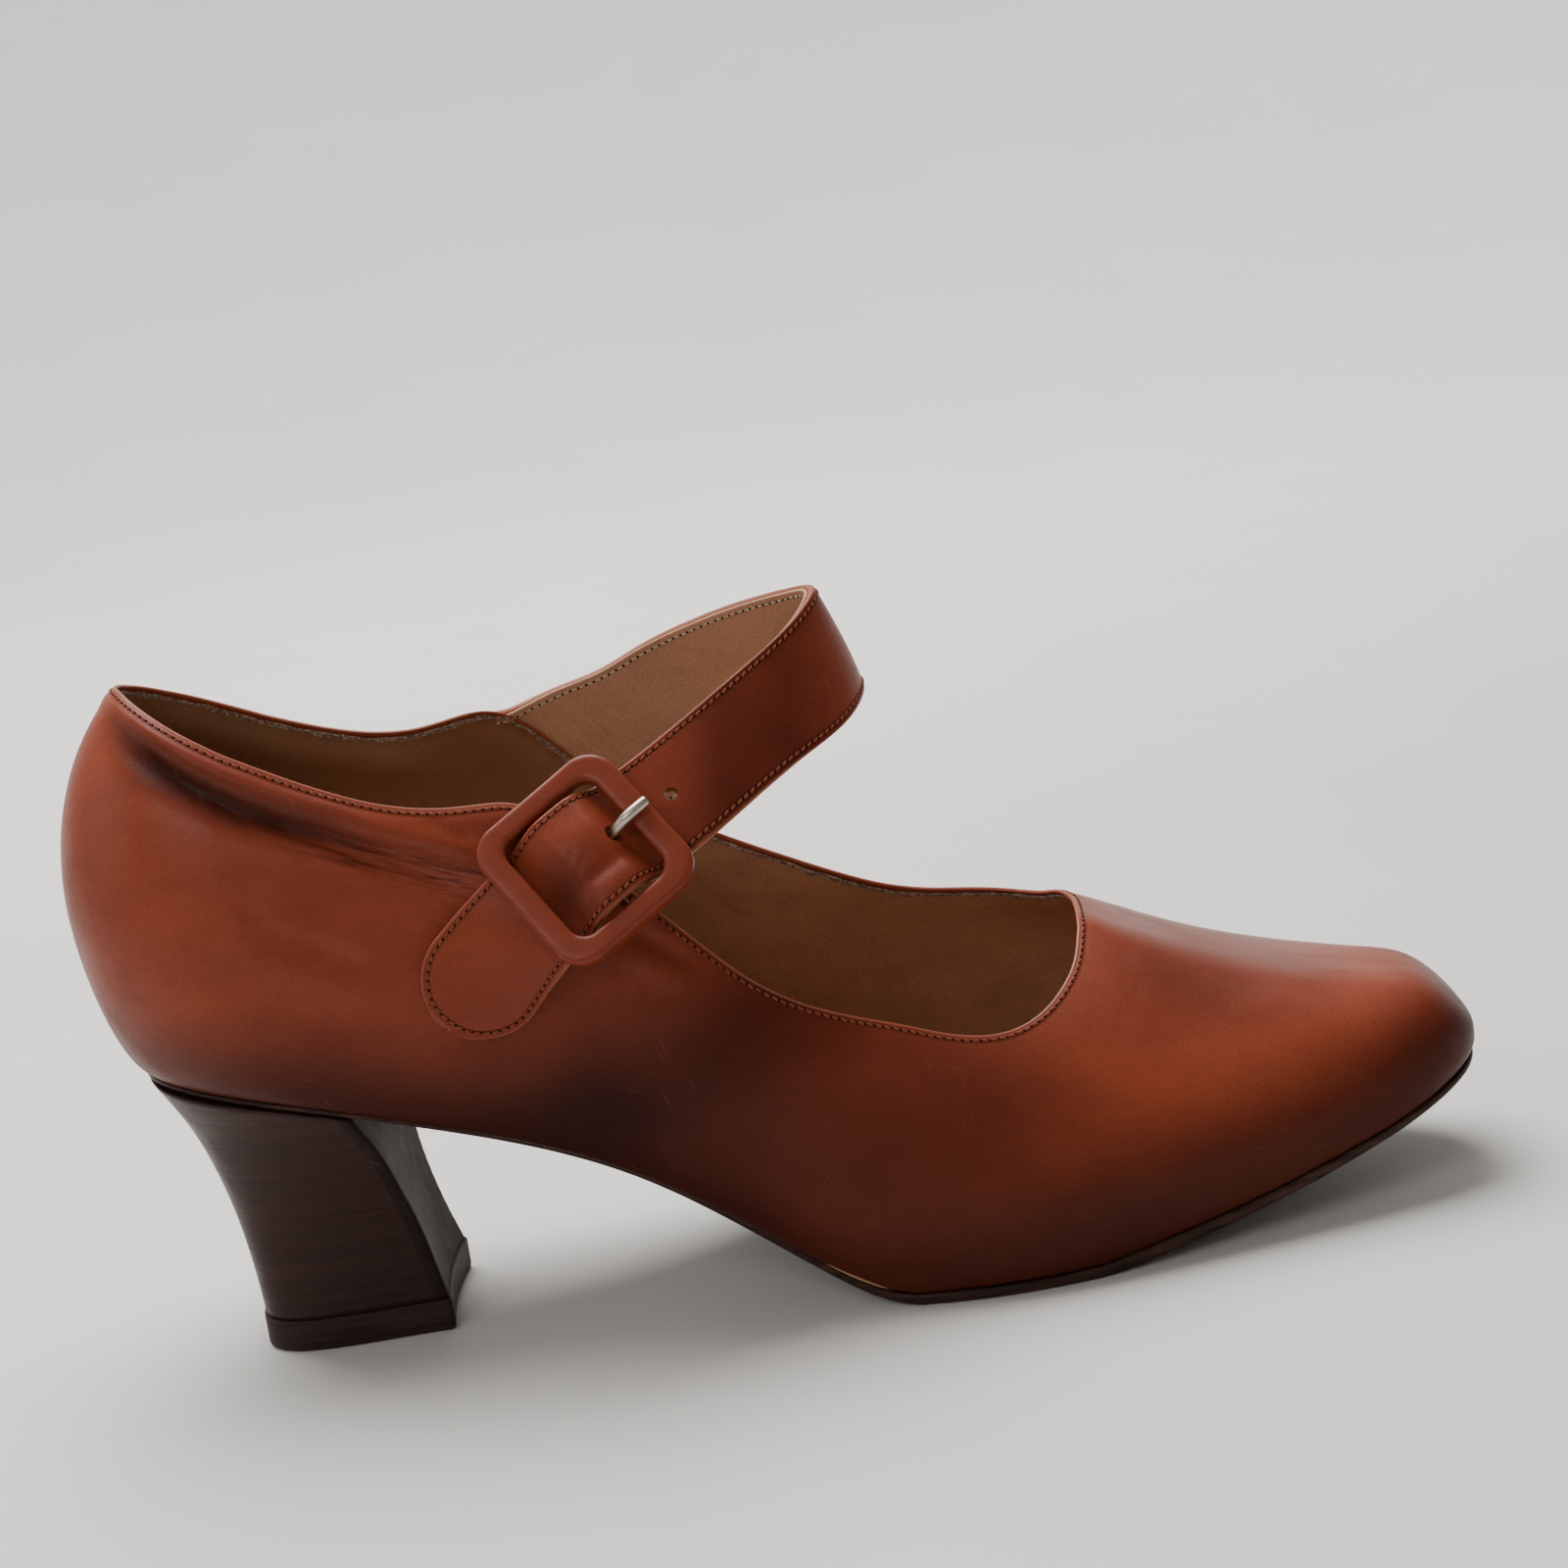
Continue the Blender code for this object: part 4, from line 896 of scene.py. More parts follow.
def layered(tree, place, scale, **settings):
    """Noise drawn out by a scale, for leather in level layers, and the mapped place it was made from."""
    layers = add_node(tree, "Mapping", Vector=place)
    layers.inputs["Scale"].default_value = scale
    mapped = layers.outputs["Vector"]
    return add_node(tree, "TexNoise", Vector=mapped, Scale=1.0, **settings).outputs["Fac"], mapped


def thread(name, colour):
    made, tree, shader, place = new_material(name)
    diagonal = {"bands_direction": "DIAGONAL"}
    twist = add_node(tree, "TexWave", diagonal, Vector=place, Scale=900.0, Distortion=2.0).outputs["Fac"]
    colour = add_mix(tree, twist, colour, darker(colour, 0.55))
    normal = bump(tree, twist, 0.0001)
    set_inputs(tree, shader, Base_Color=colour, Roughness=0.6, Specular_IOR_Level=0.08, Normal=normal)
    return made


def sole_leather(name, light, dark, rough):
    made, tree, shader, place = new_material(name)
    lines, _ = layered(tree, place, (60.0, 60.0, 900.0), Detail=4.0, Roughness=0.65)
    patches = use(tree, polish, Place=place, Patch=25.0)
    colour = add_mix(tree, add_range(tree, lines, 0.35, 0.68), dark, light)
    colour = tint(tree, colour, patches["Streak"], 0.4, dark)
    dull = raised(tree, rough, patches["Cloud"], 0.15)
    normal = bump(tree, lines, 0.0002, strength=0.5)
    set_inputs(tree, shader, Base_Color=colour, Roughness=dull, Specular_IOR_Level=0.15, Normal=normal)
    return made


def stacked_leather(name):
    """Heel facing: level layers a little under a millimetre thick; the front is a smooth dark facing."""
    made, tree, shader, place = new_material(name)
    layer, mapped = layered(tree, place, (14.0, 14.0, 1250.0), Detail=5.0, Roughness=0.6)
    broad = add_node(tree, "TexNoise", Vector=mapped, Scale=0.34, Detail=2.0)
    patches = use(tree, polish, Place=place, Patch=30.0)
    front = add_range(tree, mark(tree, "breast"), 0.4, 0.6)
    colour = add_mix(tree, add_range(tree, layer, 0.38, 0.62), STACK_MIDDLE, STACK_LIGHT)
    colour = add_mix(tree, add_range(tree, broad.outputs["Fac"], 0.3, 0.7, 0.0, 0.3), colour, STACK_DARK)
    scuffs = use(tree, scratches, Place=place, Turn=0.9, Amount=1.0)
    facing = add_mix(tree, patches["Streak"], FACING_DARK, FACING_LIGHT)
    facing = tint(tree, facing, scuffs["Mask"], 0.5, FACING_SCUFF)
    dull = raised(tree, 0.36, patches["Streak"], 0.12)
    dull = raised(tree, dull, front, 0.25)
    lined = add_math(tree, "MULTIPLY", layer, add_math(tree, "SUBTRACT", 1.0, front))
    colour, normal = add_mix(tree, front, colour, facing), bump(tree, lined, 0.00025, strength=0.5)
    set_inputs(tree, shader, Base_Color=colour, Roughness=dull, Specular_IOR_Level=0.14, Normal=normal)
    return made


def hard_finish(name, colour, rough, metallic, coat, grime):
    made, tree, shader, place = new_material(name)
    patches = use(tree, polish, Place=place, Patch=60.0)
    scuffs = use(tree, scratches, Place=place, Turn=0.7, Amount=0.5)
    dull = raised(tree, rough, patches["Streak"], 0.1)
    dull = raised(tree, dull, scuffs["Mask"], 0.2)
    colour = tint(tree, colour, patches["Streak"], grime, darker(colour, 0.6))
    normal = bump(tree, add_math(tree, "MULTIPLY", scuffs["Mask"], -1.0), 0.00005)
    set_inputs(tree, shader, Base_Color=colour, Metallic=metallic, Roughness=dull, Normal=normal)
    set_inputs(tree, shader, Coat_Weight=coat, Coat_Roughness=0.15, Specular_IOR_Level=0.2)
    return made


red_thread = thread("red_thread", (0.3, 0.075, 0.036, 1))
cream_thread = thread("cream_thread", (0.72, 0.56, 0.38, 1))
# Dark capsules between the stitches: painted shade in the needle holes.
needle_hole_shade = thread("needle_hole_shade", (0.022, 0.005, 0.003, 1))
sole_edge = sole_leather("sole_edge_dye", (0.06, 0.027, 0.018, 1), (0.02, 0.009, 0.007, 1), 0.38)
heel_stack = stacked_leather("stacked_heel_facing")
lift_rubber = sole_leather("lift_rubber", (0.045, 0.023, 0.019, 1), (0.025, 0.012, 0.01, 1), 0.5)
enamel = hard_finish("buckle_cover", (0.19, 0.031, 0.012, 1), 0.36, 0.0, 0.08, 0.35)
steel = hard_finish("prong_steel", (0.5, 0.43, 0.35, 1), 0.27, 1.0, 0.0, 0.3)
print("finishes:", len(bpy.data.materials))

# %% [markdown]
# ## Creases, placed one by one
# Worn calf falls into a few long folds, and each one sits where the foot bends it. Noise would put folds
# anywhere, so each main crease is a short drawn line in side view (x, z) with a depth, a width and a lip that
# stands up beside it. Positive sides are to the left of the line's direction. A little unevenness on top
# keeps the leather between them from looking moulded.

# %% Creases of the quarters and the vamp
ANKLE_FOLD = (
    *((13.0, 122.6), (17.1, 120.0), (19.9, 118.2), (25.3, 114.3), (30.6, 110.5), (36.0, 107.1)),
    *((41.3, 104.0), (46.6, 101.3), (54.8, 97.9), (60.2, 95.2), (68.3, 91.9), (76.5, 88.7), (84.0, 86.0)),
)
MEDIAL_FOLD = ((13.5, 119.8), (18.5, 116.8), (26.0, 111.4), (40.0, 104.4), (56.0, 99.8), (72.0, 96.4))
# line, side, depth, width below, width above, lip below, roll above
CREASES = (
    # the long fold under the collar, where the ankle pushes the topline out: steep above, easy below
    (ANKLE_FOLD, LATERAL, 2.1, 3.4, 1.5, 0.0, 0.4),
    # short wrinkles that run into its front end
    (((56.0, 98.2), (61.9, 95.6), (68.6, 93.3), (79.6, 88.4)), LATERAL, 0.35, 0.8, 0.8, 0.6, 0.0),
    (((50.8, 97.6), (59.4, 93.4), (66.8, 89.8), (77.0, 85.4)), LATERAL, 0.34, 0.9, 0.9, 0.7, 0.0),
    (((59.0, 91.5), (67.0, 87.6), (77.0, 84.0)), LATERAL, 0.22, 0.9, 0.9, 0.6, 0.0),
    (((72.2, 98.1), (76.0, 95.4), (80.0, 92.8)), LATERAL, 0.3, 0.9, 0.9, 0.5, 0.0),
    # and short ones across its lower side
    (((31.5, 108.0), (34.5, 105.0), (38.0, 102.0)), LATERAL, 0.22, 0.8, 0.8, 0.4, 0.0),
    (((34.5, 108.0), (38.0, 104.2), (42.0, 101.0)), LATERAL, 0.22, 0.8, 0.8, 0.4, 0.0),
    (((44.0, 102.6), (47.5, 100.2), (50.8, 97.4)), LATERAL, 0.2, 0.9, 0.9, 0.4, 0.0),
    # the soft end of the stiffener inside the counter
    (((36.6, 90.5), (43.3, 82.3), (54.6, 76.1), (60.0, 72.1)), LATERAL, 0.35, 2.4, 2.0, 0.9, 0.5),
    # the quarter bends over behind the throat
    (((104.0, 74.4), (110.4, 69.6), (116.6, 65.0)), LATERAL, 0.5, 1.8, 1.8, 0.9, 0.0),
    # the same folds, softer, on the medial side
    (MEDIAL_FOLD, MEDIAL, 0.9, 3.0, 2.0, 0.0, 0.4),
    (((40.0, 88.0), (48.0, 80.0), (60.0, 74.0)), MEDIAL, 0.25, 2.4, 2.4, 0.8, 0.0),
    (((108.0, 76.0), (116.0, 66.0), (126.0, 57.0)), MEDIAL, 0.35, 2.2, 2.2, 0.8, 0.0),
)
# drawn from above (x, y): faint flex marks across the vamp in front of the throat
FLEX_MARKS = (
    (((190.5, -14.0), (193.0, -4.0), (193.5, 8.0), (191.0, 20.0)), 0.08, 1.6),
    (((183.0, -33.0), (189.0, -22.0), (194.0, -10.0)), 0.07, 1.5),
    (((185.0, 40.0), (190.0, 30.0), (195.0, 20.0)), 0.07, 1.5),
)

# Places painted darker in side view: middle (x, z), reach along and up, and how dark.
DARK_SPOTS = (
    (96.0, 42.0, 36.0, 16.0, 0.93),
    (142.0, 27.0, 30.0, 15.0, 0.75),
    (120.0, 54.0, 24.0, 12.0, 0.6),
    (165.0, 33.0, 18.0, 11.0, 0.45),
    (186.0, 12.0, 30.0, 9.0, 0.5),
    (30.0, 56.0, 26.0, 9.0, 0.35),
    (232.0, 16.0, 16.0, 6.0, 0.45),
    (196.0, 44.0, 14.0, 8.0, 0.2),
    (226.0, 42.0, 22.0, 6.0, 0.3),
)

# Places that hands and brushes rub bright, in the same columns: the vamp in front of the throat, the toe, the
# side of the throat and the counter.
GLOSS = (
    (188.0, 50.0, 20.0, 7.0, 0.8),
    (222.0, 42.0, 20.0, 5.0, 0.8),
    (150.0, 42.0, 26.0, 6.0, 0.3),
    (34.0, 92.0, 22.0, 18.0, 0.2),
)


def oval(points, x, z, along, up):
    """A soft oval spot in side view."""
    return hill((points[..., 0] - x) / along, (points[..., 2] - z) / up)


def spot_darkening(points):
    """How much darker the colour is painted at places on the shoe, from 0 to 1."""
    light = np.ones(points.shape[:-1])
    for x, z, along, up, dark in DARK_SPOTS:
        light = light * (1 - dark * oval(points, x, z, along, up))
    return np.clip(1 - light + 0.08 * uneven(points, 18, 11), 0, 1)


def near_line(place, line):
    """Signed distance of places in a plane from a drawn line, and how far along it they are, from 0 to 1."""
    line = np.array(line, float)
    lengths = np.linalg.norm(np.diff(line, axis=0), axis=1)
    starts = np.concatenate([[0], np.cumsum(lengths)])
    best, share = np.full(place.shape[:-1], 1e9), np.zeros(place.shape[:-1])
    for start, end, length, before in zip(line, line[1:], lengths, starts):
        along = (end - start) / length
        offset = place - start
        run = np.clip(offset @ along, 0, length)
        gap = offset - run[..., None] * along
        left = np.sign(along[0] * offset[..., 1] - along[1] * offset[..., 0])
        distance = np.linalg.norm(gap, axis=-1)
        nearer = distance < abs(best)
        best = np.where(nearer, distance * left, best)
        share = np.where(nearer, (before + run) / starts[-1], share)
    return best, share


def crease_height(place, line, depth, below, above, lip, roll=0.0):
    """A trough along a drawn line, with a lip on its lower side and a soft roll on its upper side."""
    distance, share = near_line(place, line)
    fade = smooth_step(share, 0, 0.2) * smooth_step(1 - share, 0, 0.2)
    trough = -depth * hill(distance / np.where(distance > 0, above, below))
    ridge = lip * depth * hill((distance + 2.0 * below) / (1.3 * below))
    bulge = roll * depth * hill((distance - 2.3 * above) / (1.2 * above))
    return fade * (trough + ridge + bulge)


def upper_relief(points, edge):
    """How far the worn leather stands from the last, in millimetres."""
    side_view, plan_view = points[..., [0, 2]], points[..., :2]
    middle = last["ridge_y"](points[..., 0])
    height = np.zeros(points.shape[:-1])
    for line, side, *shape in CREASES:
        on_side = smooth_step(side * (points[..., 1] - middle), 4, 12)
        height += on_side * crease_height(side_view, line, *shape)
    for line, depth, width in FLEX_MARKS:
        mark_height = crease_height(plan_view, line, depth, width, width, 0.5)
        height += mark_height * smooth_step(points[..., 2], 28, 40)
    roll = 0.35 * hill((edge - 2.6) / 1.8) * (1 - smooth_step(points[..., 0], 95, 130))
    height += roll - 0.12 * hill((edge - UPPER_INSET) / 0.5)
    height += 0.16 * uneven(points, 26, 1) + 0.05 * uneven(points, 7, 2)
    return height


print(len(CREASES) + len(FLEX_MARKS), "creases drawn")

# %% [markdown]
# ## The upper and its lining
# The leather is 1 mm thick, and a thinner lining is glued inside it. A solidify modifier could make each
# one, but the cut edge is what the eye rests on, so each layer is built as one closed skin: up the outer
# face, over a rounded raw edge, and down the inner face. The lining stops a little short of the edge.

# %% The worn surface and its marks
UPPER_COLUMNS, UPPER_ROWS = 390, 110
FOLD_SHADE, FOOT_SHADE = 0.97, 0.9
skin = upper_surface(UPPER_COLUMNS, UPPER_ROWS)


def column_marks(surface):
    """For each point: distance from the topline, place along it, and height over the feather line."""
    run = np.linalg.norm(np.diff(surface, axis=0), axis=2)
    low = np.concatenate([np.zeros((1, surface.shape[1])), np.cumsum(run, axis=0)])
    below = low[-1] - low
    top = surface[-1]
    step = np.linalg.norm(np.roll(top, -1, axis=0) - top, axis=1)
    along_top = np.concatenate([[0], np.cumsum(step)[:-1]])
    heading = unit(np.roll(top, -2, axis=0) - np.roll(top, 2, axis=0))
    down = unit(surface[-8] - top)
    lean = (heading * down).sum(axis=1)
    edge = below * np.sqrt(np.clip(1 - lean**2, 0.05, 1))
    return edge, along_top + below * lean, low


topline_edge, topline_along, feather_low = column_marks(skin)
fold_off, fold_run = near_line(skin[..., [0, 2]], ANKLE_FOLD)
on_side = skin[..., 1] < last["ridge_y"](skin[..., 0])
fold_off = np.where(on_side, fold_off, FAR_OFF)
# Painted shade along the long ankle fold; the colour is also darker towards the sole and in listed spots.
spread = np.where(fold_off > 0, 3.4, 4.4 - 3.4 * smooth_step(fold_run, 0.2, 0.7))
in_fold = hill(fold_off / spread) * smooth_step(fold_run, 0.0, 0.2)
in_fold *= FOLD_SHADE * (1 - 0.55 * smooth_step(fold_run, 0.45, 0.8))
foot = FOOT_SHADE * (1 - smooth_step(feather_low, 5, 30)) * (0.7 + 0.3 * smooth_step(skin[..., 0], 10, 40))
shade_and_darkening = 1 - (1 - spot_darkening(skin)) * (1 - in_fold) * (1 - foot)
gloss = np.zeros(skin.shape[:2])
for x, z, along, up, strong in GLOSS:
    gloss += strong * oval(skin, x, z, along, up)
skin_normal = outward_normals(skin, wrap=True)
skin = skin + upper_relief(skin, topline_edge)[..., None] * skin_normal
skin_normal = outward_normals(skin, wrap=True)
print("upper surface of", skin.shape[0] * skin.shape[1], "points")

# %% Closed layers with a cut edge
# Steps over a cut edge, how round it is, and how far it stands out as a share of the layer's thickness.
EDGE_STEPS, EDGE_ROUND, EDGE_OUT = 6, 0.7, 0.4

# The leather is skived thin where the strap is joined to the medial quarter, so no step shows inside.
join = smooth_step(skin[..., 0], 74, 82) * (1 - smooth_step(skin[..., 0], 112, 122)) * ~on_side
skived = 1 - 0.55 * join * (1 - smooth_step(topline_edge, 2, 9))
skived = (skived * (0.72 + 0.28 * smooth_step(topline_edge, 0.5, 5)))[..., None]


def closed_layer(surface, normals, high, low, drop=0.0, high_steps=1, low_steps=1):
    """Rows of points round a layer: up the high face, over its cut edge, down the low face."""
    normals = normals * skived
    thick = high - low
    up = unit(surface[-1] - surface[-3])
    drop = np.broadcast_to(drop, surface.shape[1])[:, None] + thick * EDGE_OUT
    top, out = surface[-1] - up * drop, normals[-1]
    angle = np.linspace(0, math.pi, EDGE_STEPS + 1)[:, None, None]
    outward = np.sign(np.cos(angle)) * abs(np.cos(angle)) ** EDGE_ROUND * thick / 2 + (high + low) / 2
    edge = top + out * outward + up * np.sin(angle) ** EDGE_ROUND * thick * EDGE_OUT
    rows = len(surface) - 1
    half = rows // 2
    # The foot of the shoe bends slowly, so it needs fewer rows than the folds above it.
    rising = [row for row in range(rows) if row % (high_steps if row > half else 2 * high_steps) == 0]
    falling = [row for row in range(rows) if row % (low_steps if row > half else 4 * low_steps) == 0][::-1]
    high_face, low_face = (surface[own] + normals[own] * at for own, at in ((rising, high), (falling, low)))
    return np.concatenate([high_face, edge, low_face]), rising + [rows] * len(edge) + falling


def layer_piece(name, high, low, finish, slot, stands_for=(), **shape):
    grid, sources = closed_layer(skin, skin_normal, high, low, **shape)
    rows, columns = grid.shape[:2]
    faces = grid_faces(rows, columns, wrap_rows=True, wrap_columns=True)
    marks = {"edge": topline_edge[sources], "shade_and_darkening": shade_and_darkening[sources], "gloss": gloss[sources]}
    marks |= {"fold": fold_off[sources], "run": fold_run[sources]}
    marks["front"] = smooth_step(skin[sources][..., 0], 95, 140)
    marks["edge"][np.array(sources) == len(skin) - 1] = 0
    make_piece(name, grid.reshape(-1, 3), faces, finish, stands_for, marks)
    print(name, len(faces) * 2, "triangles")


layer_piece("upper_leather", 0.0, -1.0, upper_calf, "brown_leather", ("upper",), low_steps=2)
ragged = 0.9 + 0.35 * uneven(skin[-1], 2.2, 5) + 0.2 * uneven(skin[-1], 0.9, 6)
layer_piece("upper_lining", -1.05, -1.8, lining_tan, "tan_lining", drop=ragged, high_steps=2, low_steps=2)

# %% [markdown]
# ## Stitches
# A bump pattern of stitches looks flat up close, so every stitch is a small capsule of thread that dips into
# the leather at both ends. One helper lays them along any line on the shoe at an even pitch.

# %% Laying stitches along a line
STITCH_SHARES = ((-1.0, 0.2), (-0.8, 0.75), (-0.35, 1.0), (0.35, 1.0), (0.8, 0.75), (1.0, 0.2))
STITCH_SIDES = 6
SLANT = math.radians(14)
# A stitch is as long as this share of the pitch; the other sizes are millimetres.
STITCH_LENGTH, STITCH_RADIUS, STITCH_SINK = 0.84, 0.24, 0.15
HOLE_LENGTH, HOLE_RADIUS, HOLE_SINK = 0.44, 0.24, 0.12


def even_places(points, normals, pitch, along=None):
    """Places at an even pitch along a line, with the line's direction and the surface's normal there."""
    if along is None:
        along = distances(points)
    wanted = np.arange(along[0] + pitch / 2, along[-1], pitch)
    place, ahead = (on_line(at, along, points) for at in (wanted, wanted + pitch * 0.4))
    return place, unit(ahead - place), unit(on_line(wanted, along, normals))


def lay_stitches(name, places, directions, normals, size, finish, slant=0.0):
    """Capsules of thread at places; size is their length, their radius and how far their ends sink in."""
    length, radius, sink = size
    side = unit(np.cross(directions, normals))
    directions = math.cos(slant) * directions + math.sin(slant) * side
    side = unit(np.cross(directions, normals))
    angle = np.linspace(0, 2 * math.pi, STITCH_SIDES, endpoint=False)
    rings = []
    for share, fat in STITCH_SHARES:
        middle = places + directions * share * length / 2 + normals * (0.35 * radius - sink * share**2)
        spokes = side[:, None] * np.cos(angle)[:, None] + normals[:, None] * np.sin(angle)[:, None] * 0.8
        rings.append(middle[:, None] + spokes * radius * fat)
    points = np.stack(rings, axis=1).reshape(-1, 3)
    each = len(STITCH_SHARES) * STITCH_SIDES
    one = tube_faces(len(STITCH_SHARES), STITCH_SIDES)
    faces = [[k + each * n for k in face] for n in range(len(places)) for face in one]
    make_piece(name, points, faces, finish, sharp=0)


def lay_seam(name, line, normals, pitch, finish, slant=0.0, along=None):
    """Stitches along a line, and a dark capsule of painted shade in the needle hole between each two."""
    places, directions, normals = even_places(line, normals, pitch, along)
    stitch = (STITCH_LENGTH * pitch, STITCH_RADIUS, STITCH_SINK)
    lay_stitches(name + "_stitches", places, directions, normals, stitch, finish, slant)
    between, hole = places + directions * pitch / 2, (HOLE_LENGTH, HOLE_RADIUS, HOLE_SINK)
    lay_stitches(name + "_hole_shade_capsules", between, directions, normals, hole, needle_hole_shade)
    print(name, len(places), "stitches")


print("a stitch has", len(STITCH_SHARES) * STITCH_SIDES, "points")

# %% The seam under the topline
def line_below_edge(distance):
    """The line on the worn surface that runs at a distance from the topline, and its place along it."""
    points, normals, along = [], [], []
    for j in range(skin.shape[1]):
        falling = topline_edge[::-1, j]
        points.append([np.interp(distance, falling, skin[::-1, j, i]) for i in range(3)])
        normals.append([np.interp(distance, falling, skin_normal[::-1, j, i]) for i in range(3)])
        along.append(np.interp(distance, falling, topline_along[::-1, j]))
    return np.array(points), unit(np.array(normals)), np.maximum.accumulate(np.array(along))


seam, seam_normal, seam_along = line_below_edge(UPPER_INSET)
lay_seam("topline", seam, seam_normal, UPPER_PITCH, red_thread, SLANT, seam_along)

# %% [markdown]
# ## The strap
# The strap is two leathers glued back to back: calf outside, tan lining inside, with the cut edges left bare.
# It humps up under the buckle's bars and between them it is pulled into one soft fold. A cloth simulation
# would find some fold, but not this one, so the hump and its fold are drawn in the buckle's own directions.

# %% The strap's folds
LEATHER_LOW, LINING_HIGH = -0.35, -0.4
STRAP_EDGE = 0.45
# Fine lines in the leather inside the buckle's window: place across, slope and depth.
WINDOW_LINES = ((0.4, 0.55, 0.12), (-1.6, 0.35, 0.14), (2.4, 0.8, 0.1))


def in_buckle(points):
    """Places along, across and out of the buckle's middle, in millimetres."""
    origin, along, up, outward = BUCKLE_FRAME
    offset = points - origin
    return offset @ along, offset @ up, offset @ outward


def bump_at(s, w, middle_s, middle_w, wide_s, wide_w, height):
    return height * hill((s - middle_s) / wide_s, (w - middle_w) / wide_w)


def worn_strap(grid, places):
    """The ribbon with its wear: the fold in the buckle's window, a cupped tip, and slight waves."""
    s, w, _ = in_buckle(grid)
    near = smooth_step(places, 12, 22)[:, None] * smooth_step(-places, -52, -42)[:, None]
    height = near * (bump_at(s, w, 1.0, 2.6, 5.0, 4.6, 0.8) - bump_at(s, w, 0.5, -4.2, 5.5, 1.7, 0.55))
    height += near * (bump_at(s, w, 0.5, -7.4, 5.0, 1.8, 0.4) - bump_at(s, w, -5.6, -1.5, 2.4, 5.0, 0.55))
    for start, slope, depth in WINDOW_LINES:
        line = hill((w - start - slope * (s + 3)) / 0.5)
        height -= near * depth * line * smooth_step(s, -7, -4) * smooth_step(-s, -2, 2)
    across = np.linspace(-1, 1, grid.shape[1])[None, :]
    tip = 1 - smooth_step(places, 4, 20)[:, None]
    height += tip * (0.35 - 0.75 * across**2 * (across < 0) - 0.25 * across**2)
    free = smooth_step(places, 45, 62)[:, None] * smooth_step(STRAP_TOTAL - places, 0, 20)[:, None]
    height += free * (0.22 * uneven(grid, 14, 3) + 0.06 * uneven(grid, 5, 4))
    height -= 0.45 * smooth_step(places, STRAP_TOTAL - 26, STRAP_TOTAL - 12)[:, None]
    normal = -outward_normals(grid)
    return grid + height[..., None] * normal


STRAP_ROWS = 330
places = strap_places(STRAP_ROWS)
edge_line = worn_strap(strap_grid(places), places)
face_grid = worn_strap(strap_grid(places, STRAP_EDGE), places)
strap_out = -outward_normals(face_grid)
if (strap_out[len(places) // 3, ACROSS // 2] @ BUCKLE_FRAME[3]) < 0:
    strap_out = -strap_out
print("strap of", face_grid.shape[0] * face_grid.shape[1], "points a side")


def strap_marks():
    """Distance from the strap's outline for every point of the grid."""
    half = half_width(edge_line)
    inside = STRAP_EDGE + places * (1 - 2 * STRAP_EDGE / STRAP_TOTAL)
    width = np.interp(inside, ribbon_at, half_width(ribbon))
    across = np.linspace(-1, 1, ACROSS + 1)[None, :] * np.maximum(half - STRAP_EDGE, 0.05)[:, None]
    from_side = width[:, None] - abs(across)
    ahead = np.clip(STRAP_TIP_RADIUS - inside, 0, None)[:, None]
    from_tip = STRAP_TIP_RADIUS - np.sqrt(ahead**2 + (across * STRAP_TIP_RADIUS / width[:, None]) ** 2)
    edge = np.where(ahead > 0, np.minimum(from_side, from_tip), from_side)
    return np.clip(edge, 0, None)


strap_edge_mark = strap_marks()


def strap_layer(name, high, low, finish, stands_for=()):
    """A closed layer of the strap: two faces, and a rounded band round its outline."""
    rows, columns = face_grid.shape[:2]
    other = rows * columns
    thick, middle = high - low, (high + low) / 2
    points = [(face_grid + strap_out * level).reshape(-1, 3) for level in (high, low)]
    index = border(np.arange(other).reshape(rows, columns)[..., None])[:, 0]
    inner, outer, out = border(face_grid), border(edge_line), border(strap_out)
    ring = len(index)
    bands = [index]
    for k, turn in enumerate(np.linspace(0, math.pi, EDGE_STEPS + 1)[1:-1]):
        share = np.sin(turn) ** EDGE_ROUND
        level = math.copysign(abs(math.cos(turn)) ** EDGE_ROUND, math.cos(turn))
        points.append(inner + (outer - inner) * share + out * (middle + level * thick / 2))
        bands.append(2 * other + k * ring + np.arange(ring))
    faces = two_grids(rows, columns) + band_faces([*bands, index + other])
    points = np.concatenate(points)
    edge = np.concatenate([strap_edge_mark.ravel()] * 2 + [np.zeros(ring)] * (EDGE_STEPS - 1))
    # Darker across the instep, and painted shade in the hollow beside the fold in the buckle's window.
    dark = 0.6 * smooth_step(points[:, 0], 110, 126) * (1 - smooth_step(points[:, 0], 136, 152))
    s, w, _ = in_buckle(points)
    dark = np.maximum(dark, bump_at(s, w, -6, -2.5, 4.5, 7, 0.6))
    marks = {"edge": edge, "shade_and_darkening": np.clip(dark + 0.1 * uneven(points, 9, 12), 0, 1)}
    piece = make_piece(name, points, faces, finish, stands_for, marks, sharp=50)
    print(name, len(faces) * 2, "triangles")
    return piece


outer_high, inner_low = STRAP_THICK / 2, -STRAP_THICK / 2
strap_leather = strap_layer("strap_leather", outer_high, LEATHER_LOW, strap_calf, ("strap",))
strap_lining = strap_layer("strap_lining", LINING_HIGH, inner_low, strap_tan)

# %% [markdown]
# ## Punching the strap
# The prong comes up through one hole and a spare hole waits a little further along. Each is cut with a round
# punch, here a cylinder and a Boolean whose result is kept, so that the hole is real in the mesh.

# %% Punch tool
SPARE_HOLE = (115.1, -29.0, 95.8)
SPARE_RADIUS = 1.25
PUNCH_SIDES = 40


